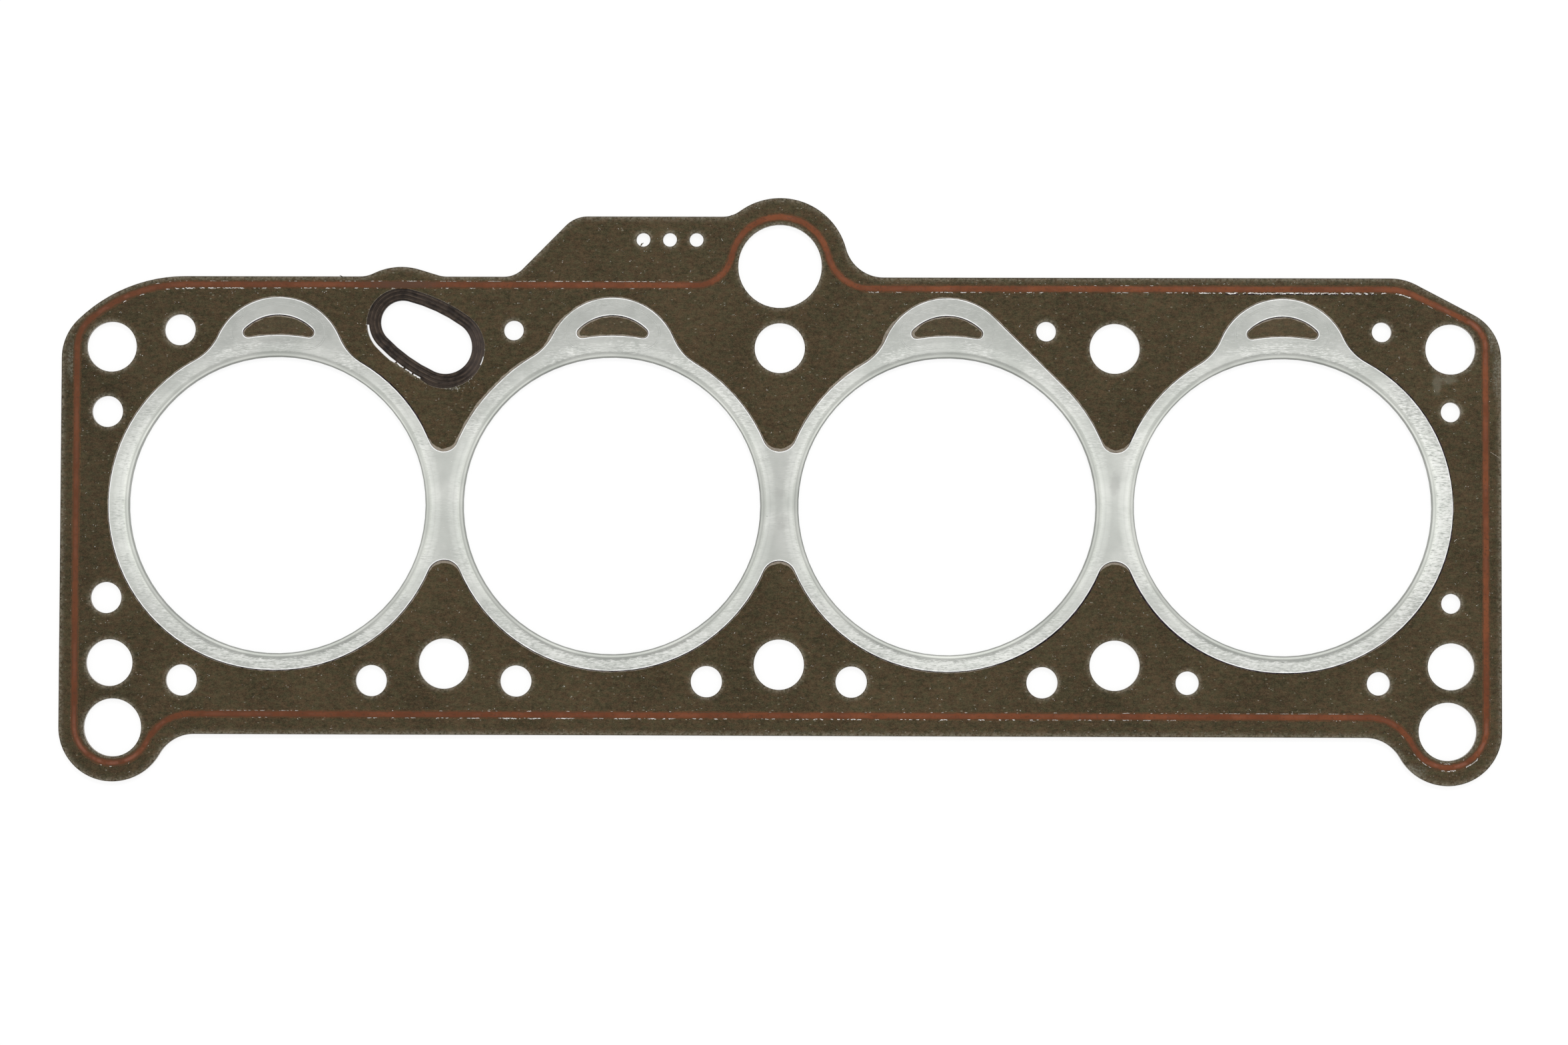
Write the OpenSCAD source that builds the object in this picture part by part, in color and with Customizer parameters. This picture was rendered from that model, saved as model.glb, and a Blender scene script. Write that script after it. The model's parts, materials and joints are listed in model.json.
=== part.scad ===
// Cylinder head gasket for a four cylinder engine with swirl chambers.
// A tanged steel core between two fibre facings, with one armour sheet folded
// round all four bores, a printed sealing bead on each face and a moulded
// rubber seal in the oil passage.
// The origin is midway between the two middle bores, on the lowest face.
// X runs along the row of bores, Y to the side with the marking tab, Z up.

/* [Layers] */
// Thickness of the tanged steel core
core_t = 0.25; // [0.2:0.05:0.5]
// Thickness of each fibre facing
facing_t = 0.55; // [0.4:0.05:0.9]
// Thickness of the armour sheet
armour_t = 0.15; // [0.12:0.01:0.25]
// Height of each printed sealing bead
bead_h = 0.1; // [0.04:0.01:0.12]
// Width of each printed sealing bead
bead_w = 1.7; // [1:0.1:2]

/* [Bores] */
// Finished opening in the armour at each cylinder
bore_d = 78; // [74:0.1:80]
// Width of the web between two openings, which sets the pitch of the cylinders
web_w = 10; // [9:0.1:12]
// Gap between each armour ring and the middle of the web
ring_gap = 0.65; // [0.4:0.05:1]
// How much wider the rings are on the wide quarters of the middle bores
wide_step = 1.1; // [0.8:0.05:1.3]
// How much further out the armour reaches at its two ends
end_reach = 1.15; // [0.5:0.05:1.6]
// Gap between each folded flange on the underside and the middle of the web
under_gap = 1.4; // [1:0.1:2]
// Fillet in each notch between two rings
notch_r = 4.5; // [3.5:0.1:6]
// Inside radius of the fold at each bore
fold_r = 0.3; // [0.2:0.05:0.35]
// Distance from the bore edge to the rolled groove
groove_x = 1.2; // [1:0.05:1.4]
// Half the width of the rolled groove
groove_half_w = 0.4; // [0.3:0.05:0.5]
// Depth of the rolled groove
groove_h = 0.07; // [0.03:0.01:0.08]

/* [Ears over the swirl chambers] */
// How far the centre of the ear lies inside the bore edge
ear_in = 1.7; // [1:0.1:2.5]
// Radius of the top edge of the crescent window
window_r = 12.85; // [12:0.05:13.5]
// Width of the ear above the window
ear_land = 4.6; // [4:0.1:5]
// Width between the bore edge and the window
window_base_w = 5.75; // [5.3:0.05:6.2]
// Corner radius of the window
window_corner_r = 1.4; // [0.8:0.1:1.8]
// Fillet between the ear and the ring
ear_blend_r = 14; // [11:0.5:17]

/* [Outer outline] */
// Land from the last head bolts to the straight ends
end_land = 13.2; // [12:0.1:14]
// Land from the bore edges to the straight long edges
side_land = 21.25; // [20:0.25:23]
// Radius of the right end corner on the tab side
corner_r = 13.3; // [10:0.1:15]
// Distance from the long edge to the centre of that corner
corner_in = 21.35; // [19:0.05:23]
// Radius of the left end corner on the tab side
left_corner_r = 14.2; // [12:0.1:15]
// Radius that runs the right end slope into the long edge
shoulder_r = 14.5; // [12:0.5:17]
// Distance from the right end to the centre of that radius
shoulder_in = 28.9; // [27:0.1:31]
// Radius of the long sweep at the left end of the tab side
sweep_r = 40.4; // [38:0.1:44]
// Distance from the left end to the centre of that sweep
sweep_in = 32.5; // [30:0.1:35]
// Land between each lobe hole and the edge round it
lobe_land = 6.55; // [5:0.05:7]
// Fillet between each lobe and the long edge
lobe_blend_r = 10.4; // [8:0.1:12]
// Land between the oil feed hole and the edge round it
feed_land = 7; // [5.5:0.1:8]
// Fillet between the oil feed lobe and the long edge
feed_blend_r = 10.2; // [8:0.1:12]

/* [Marking tab] */
// How far the tab stands out from the long edge
tab_h = 15.95; // [15:0.05:17]
// Distance from the mid line to the rounded corner of the tab
tab_x = 50.7; // [48:0.1:53]
// Radius of the rounded corner of the tab
tab_r = 8; // [6:0.5:9]
// Distance along X from that corner to the fillet at the foot of the tab
tab_slope_x = 22; // [20:0.5:24]
// Radius of the fillet at the foot of the tab
tab_foot_r = 7; // [5:0.5:8]
// Fillet between the tab and the oil feed lobe
tab_blend_r = 7.8; // [6:0.1:9]
// Diameter of each thickness marking hole
mark_d = 3.65; // [3:0.05:5]
// Number of thickness marking holes
mark_count = 3; // [1:1:3]
// Pitch of the thickness marking holes
mark_pitch = 7; // [6:0.5:8]
// Distance from the mid line to the nearest marking hole
mark_x = 22; // [21:0.5:25]
// Distance from the top of the tab to the marking holes
mark_in = 6.1; // [5:0.1:8]

/* [Bulge beside the oil passage] */
// Distance along X from the bolt in the oil passage to the centre of the bulge
bulge_dx = 11.7; // [10:0.1:13]
// Distance from the long edge to the centre of the bulge
bulge_in = 14.05; // [13.5:0.05:15]
// Radius of the bulge
bulge_r = 16.6; // [16:0.1:17.5]
// Fillet on each side of the bulge
bulge_blend_r = 8.4; // [6:0.1:10]
// Distance along X from the bulge to the fillet on its gentler side
bulge_slope_x = 12.1; // [11:0.1:13]

/* [Bolt and lobe holes] */
// Distance of each row of head bolts from the line along the bore edges
bolt_out = 2.6; // [2.4:0.1:3]
// Diameter of the head bolt holes
bolt_d = 13.2; // [12.5:0.1:13.6]
// Diameter of the two closer end bolt holes on the plain side
close_bolt_d = 12.3; // [12:0.1:13]
// Distance along X of each lobe hole inside the last head bolts
lobe_dx = 0.95; // [0:0.05:2]
// Distance of each lobe hole inside the long edge
lobe_in = 1.65; // [1:0.05:2.5]
// Diameter of the lobe holes
lobe_d = 15.25; // [14:0.05:16]
// Diameter of the oil feed hole in the middle
feed_d = 22; // [20:0.5:23]
// Distance of the oil feed hole outside the long edge
feed_out = 2.9; // [2:0.05:4]

/* [Coolant holes] */
// Diameter of the large coolant holes
water_d = 8.2; // [7:0.1:8.6]
// Diameter of the medium coolant holes
medium_water_d = 6.15; // [5:0.05:7]
// Diameter of the small coolant holes
small_water_d = 5.2; // [4:0.1:6]
// Distance of both rows of coolant holes from the line along the bore edges
water_out = 7.1; // [6.8:0.1:7.5]
// Distance along X from each head bolt to its coolant holes on the plain side
water_dx = 19; // [18.5:0.1:19.5]
// Distance along X from a head bolt to its coolant hole on the tab side
tab_water_dx = 18; // [17.6:0.1:18.4]
// Distance along X of the left end coolant holes outside the last head bolts
left_water_dx = 1; // [0:0.1:2]
// Distance of the left end coolant holes inside the bolt rows
left_water_in = 17.1; // [15:0.1:18]
// Distance of the right end coolant holes inside the bolt rows
right_water_in = 16.5; // [15:0.1:18]

/* [Oil passage seal] */
// Radius of the seal opening at its bolt end
seal_bolt_r = 7; // [6.8:0.1:7.2]
// Radius of the seal opening at its far end
seal_far_r = 5.75; // [5.5:0.05:6]
// Distance of the far end from the bolt along X
seal_far_x = 11.35; // [10.5:0.05:12]
// Distance of the far end from the bolt along Y
seal_far_y = 6.6; // [6:0.1:7]
// Radius of the two long bowed sides of the opening
seal_side_r = 42; // [36:1:50]
// Width of the seal section
seal_w = 3.1; // [2.8:0.05:3.2]
// How far each lip stands proud of the facing
lip_h = 0.12; // [0.06:0.01:0.12]
// Number of lips on each face
lip_count = 3; // [2:1:4]
// Depth of the valleys between the lips
valley_h = 0.25; // [0.15:0.05:0.35]
// Slack of the seal in its hole, taken up at one side
seal_slack = 0.4; // [0.35:0.05:0.45]
// Clearance left at the side where the seal sits
seal_clear = 0.05; // [0.02:0.01:0.1]

/* [Sealing bead path] */
// Distance of the bead inside the two ends
bead_end_in = 4.1; // [3.7:0.1:4.6]
// Distance of the bead inside the long edge on the plain side
bead_plain_in = 5.35; // [4.9:0.05:5.7]
// Distance of the bead inside the long edge on the tab side, left half
bead_left_in = 2.15; // [1.9:0.05:2.2]
// Distance of the bead inside the long edge on the tab side, right half
bead_right_in = 2.95; // [2.4:0.05:3.3]
// Radius of the bead round each lobe hole
bead_lobe_r = 10.1; // [9.9:0.1:10.4]
// Distance from the lobe holes to the centre of that radius, towards the bores
bead_lobe_in = 0.8; // [0.4:0.1:1.2]
// Fillet of the bead beside each lobe hole
bead_lobe_blend_r = 13; // [11:0.5:15]
// Land between the oil feed hole and the middle of the bead round it
bead_feed_land = 2; // [1.6:0.1:2.4]
// Fillet of the bead on the right of the oil feed hole
bead_right_blend_r = 11.5; // [10:0.5:13]
// Fillet of the bead on the left of the oil feed hole
bead_left_blend_r = 9.5; // [8:0.5:11]
// Radius of the bead at the right end corner
bead_right_corner_r = 8; // [7:0.5:9]
// Distance from the long edge to the centre of that radius
bead_corner_in = 18.45; // [17:0.05:20]
// Radius of the bead at the left end corner
bead_left_corner_r = 10; // [9:0.5:11]
// Radius that runs the right end slope of the bead into its long run
bead_shoulder_r = 15; // [13:0.5:17]
// Distance from the right end to the centre of that radius
bead_shoulder_in = 29.4; // [27:0.1:31]

/* [Hidden] */

$fn = 120;
// Arc step of every computed outline, in degrees
arc_step = 4;
// Arc step of the swept bead and seal, in degrees
sweep_step = 6;
// Two points closer than this count as one
same = 0.01;

// Levels of the layers, from the lowest face up
lower_facing_z = armour_t;
core_z = lower_facing_z + facing_t;
upper_facing_z = core_z + core_t;
body_top_z = upper_facing_z + facing_t;
top_z = body_top_z + armour_t;

// The bores set the pitch of the cylinders and of the columns of head bolts
bore_r = bore_d / 2;
bore_pitch = bore_d + web_w;
ring_r = bore_pitch / 2 - ring_gap;
wide_ring_r = ring_r + wide_step;
under_ring_r = bore_pitch / 2 - under_gap;
// The core and facings stop where the fold starts to turn
layer_bore_r = bore_r + armour_t + fold_r;
// The flat armour sheet laps over each folded eyelet outside its groove
eyelet_flat = 0.9;
eyelet_lap = 0.3;
eyelet_reach = groove_x + groove_half_w + eyelet_flat;
ear_r = window_r + ear_land;
ear_y = bore_r - ear_in;
window_base_r = bore_r + window_base_w;
last_bolt_x = 2 * bore_pitch;
bolt_y = bore_r + bolt_out;
water_y = bore_r + water_out;
half_len = last_bolt_x + end_land;
half_w = bore_r + side_land;
lobe_x = last_bolt_x - lobe_dx;
lobe_y = half_w - lobe_in;
lobe_r = lobe_d / 2 + lobe_land;
feed_y = half_w + feed_out;
feed_r = feed_d / 2 + feed_land;
tab_y = half_w + tab_h;
sweep_x = half_len - sweep_in;

// The four bore centres and the five columns of head bolts
bore_xs = [for (i = [-1.5:1:1.5]) i * bore_pitch];
bolt_xs = [for (i = [-2:1:2]) i * bore_pitch];
// The head bolt of the second column on the tab side stands in the oil passage
passage_x = -bore_pitch;

// A pulley is [x, y, radius, turn], where turn is 1 for an outside curve and
// -1 for an inside one. A belt runs anticlockwise round a list of pulleys and
// touches each of them, along a tangent line or straight at their contact.
function signed_r(p) = p[3] * p[2];
function leave_angle(a, b) =
    let (dx = b[0] - a[0], dy = b[1] - a[1], d = norm([dx, dy]))
    atan2(dy, dx) - acos(max(-1, min(1, (signed_r(a) - signed_r(b)) / d)));
function on_pulley(p, angle) =
    [p[0] + signed_r(p) * cos(angle), p[1] + signed_r(p) * sin(angle)];
// A sweep a hair under a full turn is a rounding error of no sweep at all
full_turn = 360;
function turn_left(angle) =
    let (w = (angle % full_turn + full_turn) % full_turn)
    w > full_turn - arc_step / 4 ? 0 : w;
function pulley_arc(p, a_in, a_out, step, skip) =
    let (
        sweep = p[3] > 0 ? turn_left(a_out - a_in) : -turn_left(a_in - a_out),
        n = max(1, ceil(abs(sweep) / step - same))
    )
    [for (i = [skip:n]) on_pulley(p, a_in + sweep * i / n)];
function belt(pulleys, step = arc_step) =
    let (n = len(pulleys))
    [for (i = [0:n - 1])
        let (
            before = pulleys[(i + n - 1) % n],
            p = pulleys[i],
            after = pulleys[(i + 1) % n],
            a_in = leave_angle(before, p),
            a_out = leave_angle(p, after),
            gap = norm(on_pulley(p, a_in) - on_pulley(before, a_in))
        )
        for (q = pulley_arc(p, a_in, a_out, step, gap < same ? 1 : 0)) q];
// The same belt moved inward by d, or outward where d is negative
function inset(pulleys, d) =
    [for (p = pulleys) [p[0], p[1], p[2] - p[3] * d, p[3]]];
// The point at distance ra from a and rb from b, on the left of the way a to b
function touch(a, ra, b, rb) =
    let (
        v = [b[0] - a[0], b[1] - a[1]],
        d = norm(v),
        u = v / d,
        along = (ra * ra - rb * rb + d * d) / (2 * d),
        off = sqrt(max(0, ra * ra - along * along))
    )
    [a[0] + u[0] * along - u[1] * off, a[1] + u[1] * along + u[0] * off];
// The X distance at which a circle at height y lies d away from the height y0
function x_reach(d, y, y0) = sqrt(max(0, d * d - (y - y0) * (y - y0)));
function pulley(at, r, turn) = [at[0], at[1], r, turn];

// Outer outline of the core and both facings
function outline() =
    let (
        lobe_blend_y = -half_w - lobe_blend_r,
        lobe_blend_x = lobe_x
            - x_reach(lobe_r + lobe_blend_r, lobe_blend_y, -lobe_y),
        feed_blend_y = half_w + feed_blend_r,
        tab_blend_y = tab_y + tab_blend_r,
        bulge_x = bore_pitch + bulge_dx,
        bulge_y = half_w - bulge_in,
        bulge_blend_y = half_w + bulge_blend_r,
        bulge_reach = x_reach(bulge_r + bulge_blend_r, bulge_blend_y, bulge_y),
        sweep_y = half_w - sweep_r,
        left_corner_x = left_corner_r - half_len,
        left_corner_y = sweep_y
            + x_reach(sweep_r - left_corner_r, left_corner_x, -sweep_x)
    )
    [
        [-lobe_x, -lobe_y, lobe_r, 1],
        [-lobe_blend_x, lobe_blend_y, lobe_blend_r, -1],
        [lobe_blend_x, lobe_blend_y, lobe_blend_r, -1],
        [lobe_x, -lobe_y, lobe_r, 1],
        [half_len - corner_r, half_w - corner_in, corner_r, 1],
        [half_len - shoulder_in, half_w - shoulder_r, shoulder_r, 1],
        [x_reach(feed_r + feed_blend_r, feed_blend_y, feed_y),
            feed_blend_y, feed_blend_r, -1],
        [0, feed_y, feed_r, 1],
        [-x_reach(feed_r + tab_blend_r, tab_blend_y, feed_y),
            tab_blend_y, tab_blend_r, -1],
        [-tab_x, tab_y - tab_r, tab_r, 1],
        [-tab_x - tab_slope_x, half_w + tab_foot_r, tab_foot_r, -1],
        [bulge_slope_x - bulge_x, bulge_blend_y, bulge_blend_r, -1],
        [-bulge_x, bulge_y, bulge_r, 1],
        [-bulge_reach - bulge_x, bulge_blend_y, bulge_blend_r, -1],
        [-sweep_x, sweep_y, sweep_r, 1],
        [left_corner_x, left_corner_y, left_corner_r, 1]
    ];

// Middle line of the sealing bead
function bead_line() =
    let (
        bead_x = half_len - bead_end_in,
        bead_plain_y = half_w - bead_plain_in,
        bead_left_y = half_w - bead_left_in,
        bead_right_y = half_w - bead_right_in,
        bead_lobe_y = lobe_y - bead_lobe_in,
        bead_feed_r = feed_d / 2 + bead_feed_land,
        lobe_blend_y = -bead_plain_y - bead_lobe_blend_r,
        bead_lobe_x = bead_x - bead_lobe_r,
        lobe_blend_x = bead_lobe_x
            - x_reach(bead_lobe_r + bead_lobe_blend_r, lobe_blend_y, -bead_lobe_y),
        right_blend_y = bead_right_y + bead_right_blend_r,
        left_blend_y = bead_left_y + bead_left_blend_r,
        sweep_y = half_w - sweep_r,
        bead_sweep_r = bead_left_y - sweep_y,
        left_corner_x = bead_left_corner_r - bead_x,
        left_corner_y = sweep_y
            + x_reach(bead_sweep_r - bead_left_corner_r, left_corner_x, -sweep_x)
    )
    [
        [-bead_lobe_x, -bead_lobe_y, bead_lobe_r, 1],
        [-lobe_blend_x, lobe_blend_y, bead_lobe_blend_r, -1],
        [lobe_blend_x, lobe_blend_y, bead_lobe_blend_r, -1],
        [bead_lobe_x, -bead_lobe_y, bead_lobe_r, 1],
        [bead_x - bead_right_corner_r, half_w - bead_corner_in, bead_right_corner_r, 1],
        [half_len - bead_shoulder_in, bead_right_y - bead_shoulder_r, bead_shoulder_r, 1],
        [x_reach(bead_feed_r + bead_right_blend_r, right_blend_y, feed_y),
            right_blend_y, bead_right_blend_r, -1],
        [0, feed_y, bead_feed_r, 1],
        [-x_reach(bead_feed_r + bead_left_blend_r, left_blend_y, feed_y),
            left_blend_y, bead_left_blend_r, -1],
        [-sweep_x, sweep_y, bead_sweep_r, 1],
        [left_corner_x, left_corner_y, bead_left_corner_r, 1]
    ];

// Outline of the armour: a ring round each bore, a notch between each pair of
// rings and an ear over each bore on the tab side
function ring_pulley(x, r) = [x, 0, r, 1];
function ear_pulley(x) = [x, ear_y, ear_r, 1];
function ear_blend(a, ra, b, rb) =
    pulley(touch(a, ra + ear_blend_r, b, rb + ear_blend_r), ear_blend_r, -1);
function notch(xa, ra, xb, rb) =
    pulley(touch([xa, 0], ra + notch_r, [xb, 0], rb + notch_r), notch_r, -1);
function armour() =
    let (
        a = bore_xs[0], b = bore_xs[1], c = bore_xs[2], d = bore_xs[3],
        left = a - end_reach, right = d + end_reach
    )
    [
        ring_pulley(left, ring_r),
        ring_pulley(a, ring_r),
        notch(b, ring_r, a, ring_r),
        ring_pulley(b, ring_r),
        notch(c, ring_r, b, ring_r),
        ring_pulley(c, ring_r),
        notch(d, ring_r, c, ring_r),
        ring_pulley(d, ring_r),
        ring_pulley(right, ring_r),
        ear_blend([d, ear_y], ear_r, [right, 0], ring_r),
        ear_pulley(d),
        ear_blend([d, 0], ring_r, [d, ear_y], ear_r),
        ring_pulley(d, ring_r),
        notch(c, wide_ring_r, d, ring_r),
        ring_pulley(c, wide_ring_r),
        ear_pulley(c),
        ear_blend([c, 0], ring_r, [c, ear_y], ear_r),
        ring_pulley(c, ring_r),
        notch(b, ring_r, c, ring_r),
        ring_pulley(b, ring_r),
        ear_blend([b, ear_y], ear_r, [b, 0], ring_r),
        ear_pulley(b),
        ear_blend([b, 0], wide_ring_r, [b, ear_y], ear_r),
        ring_pulley(b, wide_ring_r),
        notch(a, ring_r, b, wide_ring_r),
        ring_pulley(a, ring_r),
        ear_blend([a, ear_y], ear_r, [a, 0], ring_r),
        ear_pulley(a),
        ear_blend([left, 0], ring_r, [a, ear_y], ear_r)
    ];

// Crescent window in an ear, with its lower edge concentric with the bore
function window(x) =
    let (
        corner = touch([x, ear_y], window_r - window_corner_r,
            [x, 0], window_base_r + window_corner_r)
    )
    [
        [x, ear_y, window_r, 1],
        pulley([2 * x - corner[0], corner[1]], window_corner_r, 1),
        [x, 0, window_base_r, -1],
        pulley(corner, window_corner_r, 1)
    ];

// Opening of the oil passage seal: the round end stands on the head bolt
function seal_opening() =
    let (
        bolt_end = [passage_x, bolt_y],
        far_end = [passage_x - seal_far_x, bolt_y + seal_far_y],
        reach_bolt = seal_side_r - seal_bolt_r,
        reach_far = seal_side_r - seal_far_r
    )
    [
        pulley(bolt_end, seal_bolt_r, 1),
        pulley(touch(bolt_end, reach_bolt, far_end, reach_far), seal_side_r, 1),
        pulley(far_end, seal_far_r, 1),
        pulley(touch(far_end, reach_far, bolt_end, reach_bolt), seal_side_r, 1)
    ];
// The seal sits against the upper right side of its hole
function seal_hole() =
    let (
        shift = (seal_slack - seal_clear) / norm([seal_far_x, seal_far_y]),
        dx = -shift * seal_far_y,
        dy = -shift * seal_far_x
    )
    [for (p = inset(seal_opening(), -seal_w - seal_slack))
        [p[0] + dx, p[1] + dy, p[2], p[3]]];

// Section of the seal as [distance in from its outer wall, height]: a row of
// rounded lips above and the same row below
lip_steps = 4;
function lip_rise(t) = lip_h - valley_h * (1 + cos(360 * lip_count * t)) / 2;
function seal_section() =
    let (n = lip_count * lip_steps)
    concat(
        [for (i = [0:n]) [seal_w * i / n, body_top_z + lip_rise(i / n)]],
        [for (i = [n:-1:0]) [seal_w * i / n, lower_facing_z - lip_rise(i / n)]]
    );

// Section of a bead as [distance in from its outer edge, height]: flat where
// it lies on the facing, with a low wall at each edge and a crowned free side
crown_steps = 4;
edge_h = bead_h * 0.5;
function bead_section() =
    concat(
        [for (i = [0:crown_steps])
            let (t = i / crown_steps)
            [bead_w * t, edge_h + (bead_h - edge_h) * sin(180 * t)]],
        [[bead_w, 0], [0, 0]]
    );

// Sweeps a closed section once round a belt of pulleys
module swept(pulleys, section) {
    rings = [for (q = section)
        [for (p = belt(inset(pulleys, q[0]), sweep_step)) [p[0], p[1], q[1]]]];
    m = len(section);
    n = len(rings[0]);
    polyhedron(
        points = [for (ring = rings) each ring],
        faces = [for (k = [0:m - 1], i = [0:n - 1])
            let (k2 = (k + 1) % m, i2 = (i + 1) % n)
            [k2 * n + i, k2 * n + i2, k * n + i2, k * n + i]]
    );
}

// Punched holes shared by the core and both facings
module round_holes(xs, y, d) {
    for (x = xs) translate([x, y]) circle(d = d);
}
module punched_holes() {
    end_bolts = [bolt_xs[0], bolt_xs[4]];
    round_holes(bore_xs, 0, 2 * layer_bore_r);
    round_holes([bolt_xs[1], bolt_xs[2], bolt_xs[3]], -bolt_y, bolt_d);
    round_holes([bolt_xs[2], bolt_xs[3]], bolt_y, bolt_d);
    round_holes(end_bolts, bolt_y, bolt_d);
    round_holes(end_bolts, -bolt_y, close_bolt_d);
    round_holes([-lobe_x, lobe_x], -lobe_y, lobe_d);
    round_holes([0], feed_y, feed_d);
    round_holes([for (i = [0:mark_count - 1]) -mark_x - i * mark_pitch],
        tab_y - mark_in, mark_d);
    polygon(belt(seal_hole()));
    coolant_holes();
}
module coolant_holes() {
    left = bolt_xs[0];
    passage = bolt_xs[1];
    middle = bolt_xs[2];
    inner = bolt_xs[3];
    right = bolt_xs[4];
    large = [left + water_dx, passage - water_dx, passage + water_dx,
        middle - water_dx, middle + water_dx, inner - water_dx];
    round_holes(large, -water_y, water_d);
    round_holes([inner + water_dx, right - water_dx], -water_y, medium_water_d);
    round_holes([left + tab_water_dx], water_y, water_d);
    round_holes([passage + tab_water_dx, inner - tab_water_dx, right - tab_water_dx],
        water_y, small_water_d);
    for (side = [-1, 1]) {
        round_holes([left - left_water_dx], side * (bolt_y - left_water_in), water_d);
        round_holes([right], side * (bolt_y - right_water_in), small_water_d);
    }
}

// One punched sheet of the sandwich
module layer(z, t) {
    translate([0, 0, z])
        linear_extrude(t)
            difference() {
                polygon(belt(outline()));
                punched_holes();
            }
}
module tanged_core() {
    color("silver") layer(core_z, core_t);
}
module upper_facing() {
    color("#4a4032") layer(upper_facing_z, facing_t);
}
module lower_facing() {
    color("#4a4032") layer(lower_facing_z, facing_t);
}

// Section of the folded edge at a bore: the flange on top with its rolled
// groove, the wall down the bore and the narrow flange underneath
bend_steps = 6;
function bend(z, r, from, to) =
    [for (i = [0:bend_steps])
        let (angle = from + (to - from) * i / bend_steps)
        [layer_bore_r + r * cos(angle), z + r * sin(angle)]];
function eyelet_section() =
    let (
        outside_r = armour_t + fold_r,
        top_bend_z = top_z - outside_r,
        groove_r = bore_r + groove_x,
        reach_r = bore_r + eyelet_reach
    )
    concat(
        [[reach_r, top_z]],
        [for (i = [4:-1:-4])
            [groove_r + groove_half_w * i / 4, top_z - groove_h * (1 + cos(45 * i)) / 2]],
        bend(top_bend_z, outside_r, 90, 180),
        bend(outside_r, outside_r, 180, 270),
        [[under_ring_r, 0], [under_ring_r, armour_t]],
        bend(outside_r, fold_r, 270, 180),
        bend(top_bend_z, fold_r, 180, 90),
        [[reach_r, top_z - armour_t]]
    );
module bore_armour() {
    color("gainsboro")
        union() {
            translate([0, 0, body_top_z])
                linear_extrude(armour_t)
                    difference() {
                        polygon(belt(armour()));
                        round_holes(bore_xs, 0, 2 * (bore_r + eyelet_reach - eyelet_lap));
                        for (x = bore_xs) polygon(belt(window(x)));
                    }
            for (x = bore_xs)
                translate([x, 0, 0]) rotate_extrude() polygon(eyelet_section());
        }
}

module sealing_bead() {
    swept(inset(bead_line(), -bead_w / 2), bead_section());
}
module upper_sealing_bead() {
    color("sienna") translate([0, 0, body_top_z]) sealing_bead();
}
module lower_sealing_bead() {
    color("sienna") translate([0, 0, lower_facing_z]) mirror([0, 0, 1]) sealing_bead();
}
module oil_passage_seal() {
    color("#2e2624") swept(inset(seal_opening(), -seal_w), seal_section());
}

tanged_core();
upper_facing();
lower_facing();
bore_armour();
upper_sealing_bead();
lower_sealing_bead();
oil_passage_seal();
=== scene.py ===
"""Looks of a cylinder head gasket lying flat on a pale table, seen from straight above.

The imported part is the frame: core, two fibre facings, folded steel armour, two
printed beads and the oil passage seal. This script adds what is too fine for
the frame: the dark coat on each facing with its ragged hem, the tips of the
core's tangs, the rolled edges and pressed lines of the armour, and the flash
along the bead. It also shows the armour with its two deepest notches as deep as
they are, which the frame has shallower. Lengths are in millimetres unless a name
says otherwise.
"""

import json
import math
import random

import bmesh
import bpy
import numpy as np
from mathutils import Matrix, Vector, noise


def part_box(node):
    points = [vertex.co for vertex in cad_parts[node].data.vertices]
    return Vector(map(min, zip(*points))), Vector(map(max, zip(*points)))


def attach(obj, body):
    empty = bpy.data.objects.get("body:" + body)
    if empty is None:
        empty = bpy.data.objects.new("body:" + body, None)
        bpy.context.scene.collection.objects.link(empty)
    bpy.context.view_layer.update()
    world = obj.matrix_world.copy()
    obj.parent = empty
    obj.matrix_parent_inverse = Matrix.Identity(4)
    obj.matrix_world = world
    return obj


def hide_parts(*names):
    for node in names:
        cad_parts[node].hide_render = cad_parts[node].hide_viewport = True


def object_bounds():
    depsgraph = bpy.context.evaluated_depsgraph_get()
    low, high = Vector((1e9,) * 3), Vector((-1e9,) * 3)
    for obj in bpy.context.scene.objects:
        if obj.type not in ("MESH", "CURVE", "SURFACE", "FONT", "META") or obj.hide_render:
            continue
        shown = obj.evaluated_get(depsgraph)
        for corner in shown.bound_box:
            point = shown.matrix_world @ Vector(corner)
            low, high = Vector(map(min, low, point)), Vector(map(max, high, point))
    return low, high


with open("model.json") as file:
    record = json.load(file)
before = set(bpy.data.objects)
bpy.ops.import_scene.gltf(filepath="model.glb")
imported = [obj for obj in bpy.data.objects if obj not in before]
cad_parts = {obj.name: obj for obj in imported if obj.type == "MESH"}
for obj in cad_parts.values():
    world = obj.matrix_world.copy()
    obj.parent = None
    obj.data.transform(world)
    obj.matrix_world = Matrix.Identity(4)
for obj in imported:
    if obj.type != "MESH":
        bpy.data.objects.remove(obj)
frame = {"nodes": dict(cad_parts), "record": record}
cad_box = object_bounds()

MM = 0.001
WELD = 2e-6  # metres: points of neighbouring CAD faces closer than this are one


def node_level(node, top):
    """Height of the top or bottom of a CAD node."""
    low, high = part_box(node)
    return (high if top else low).z / MM


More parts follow.
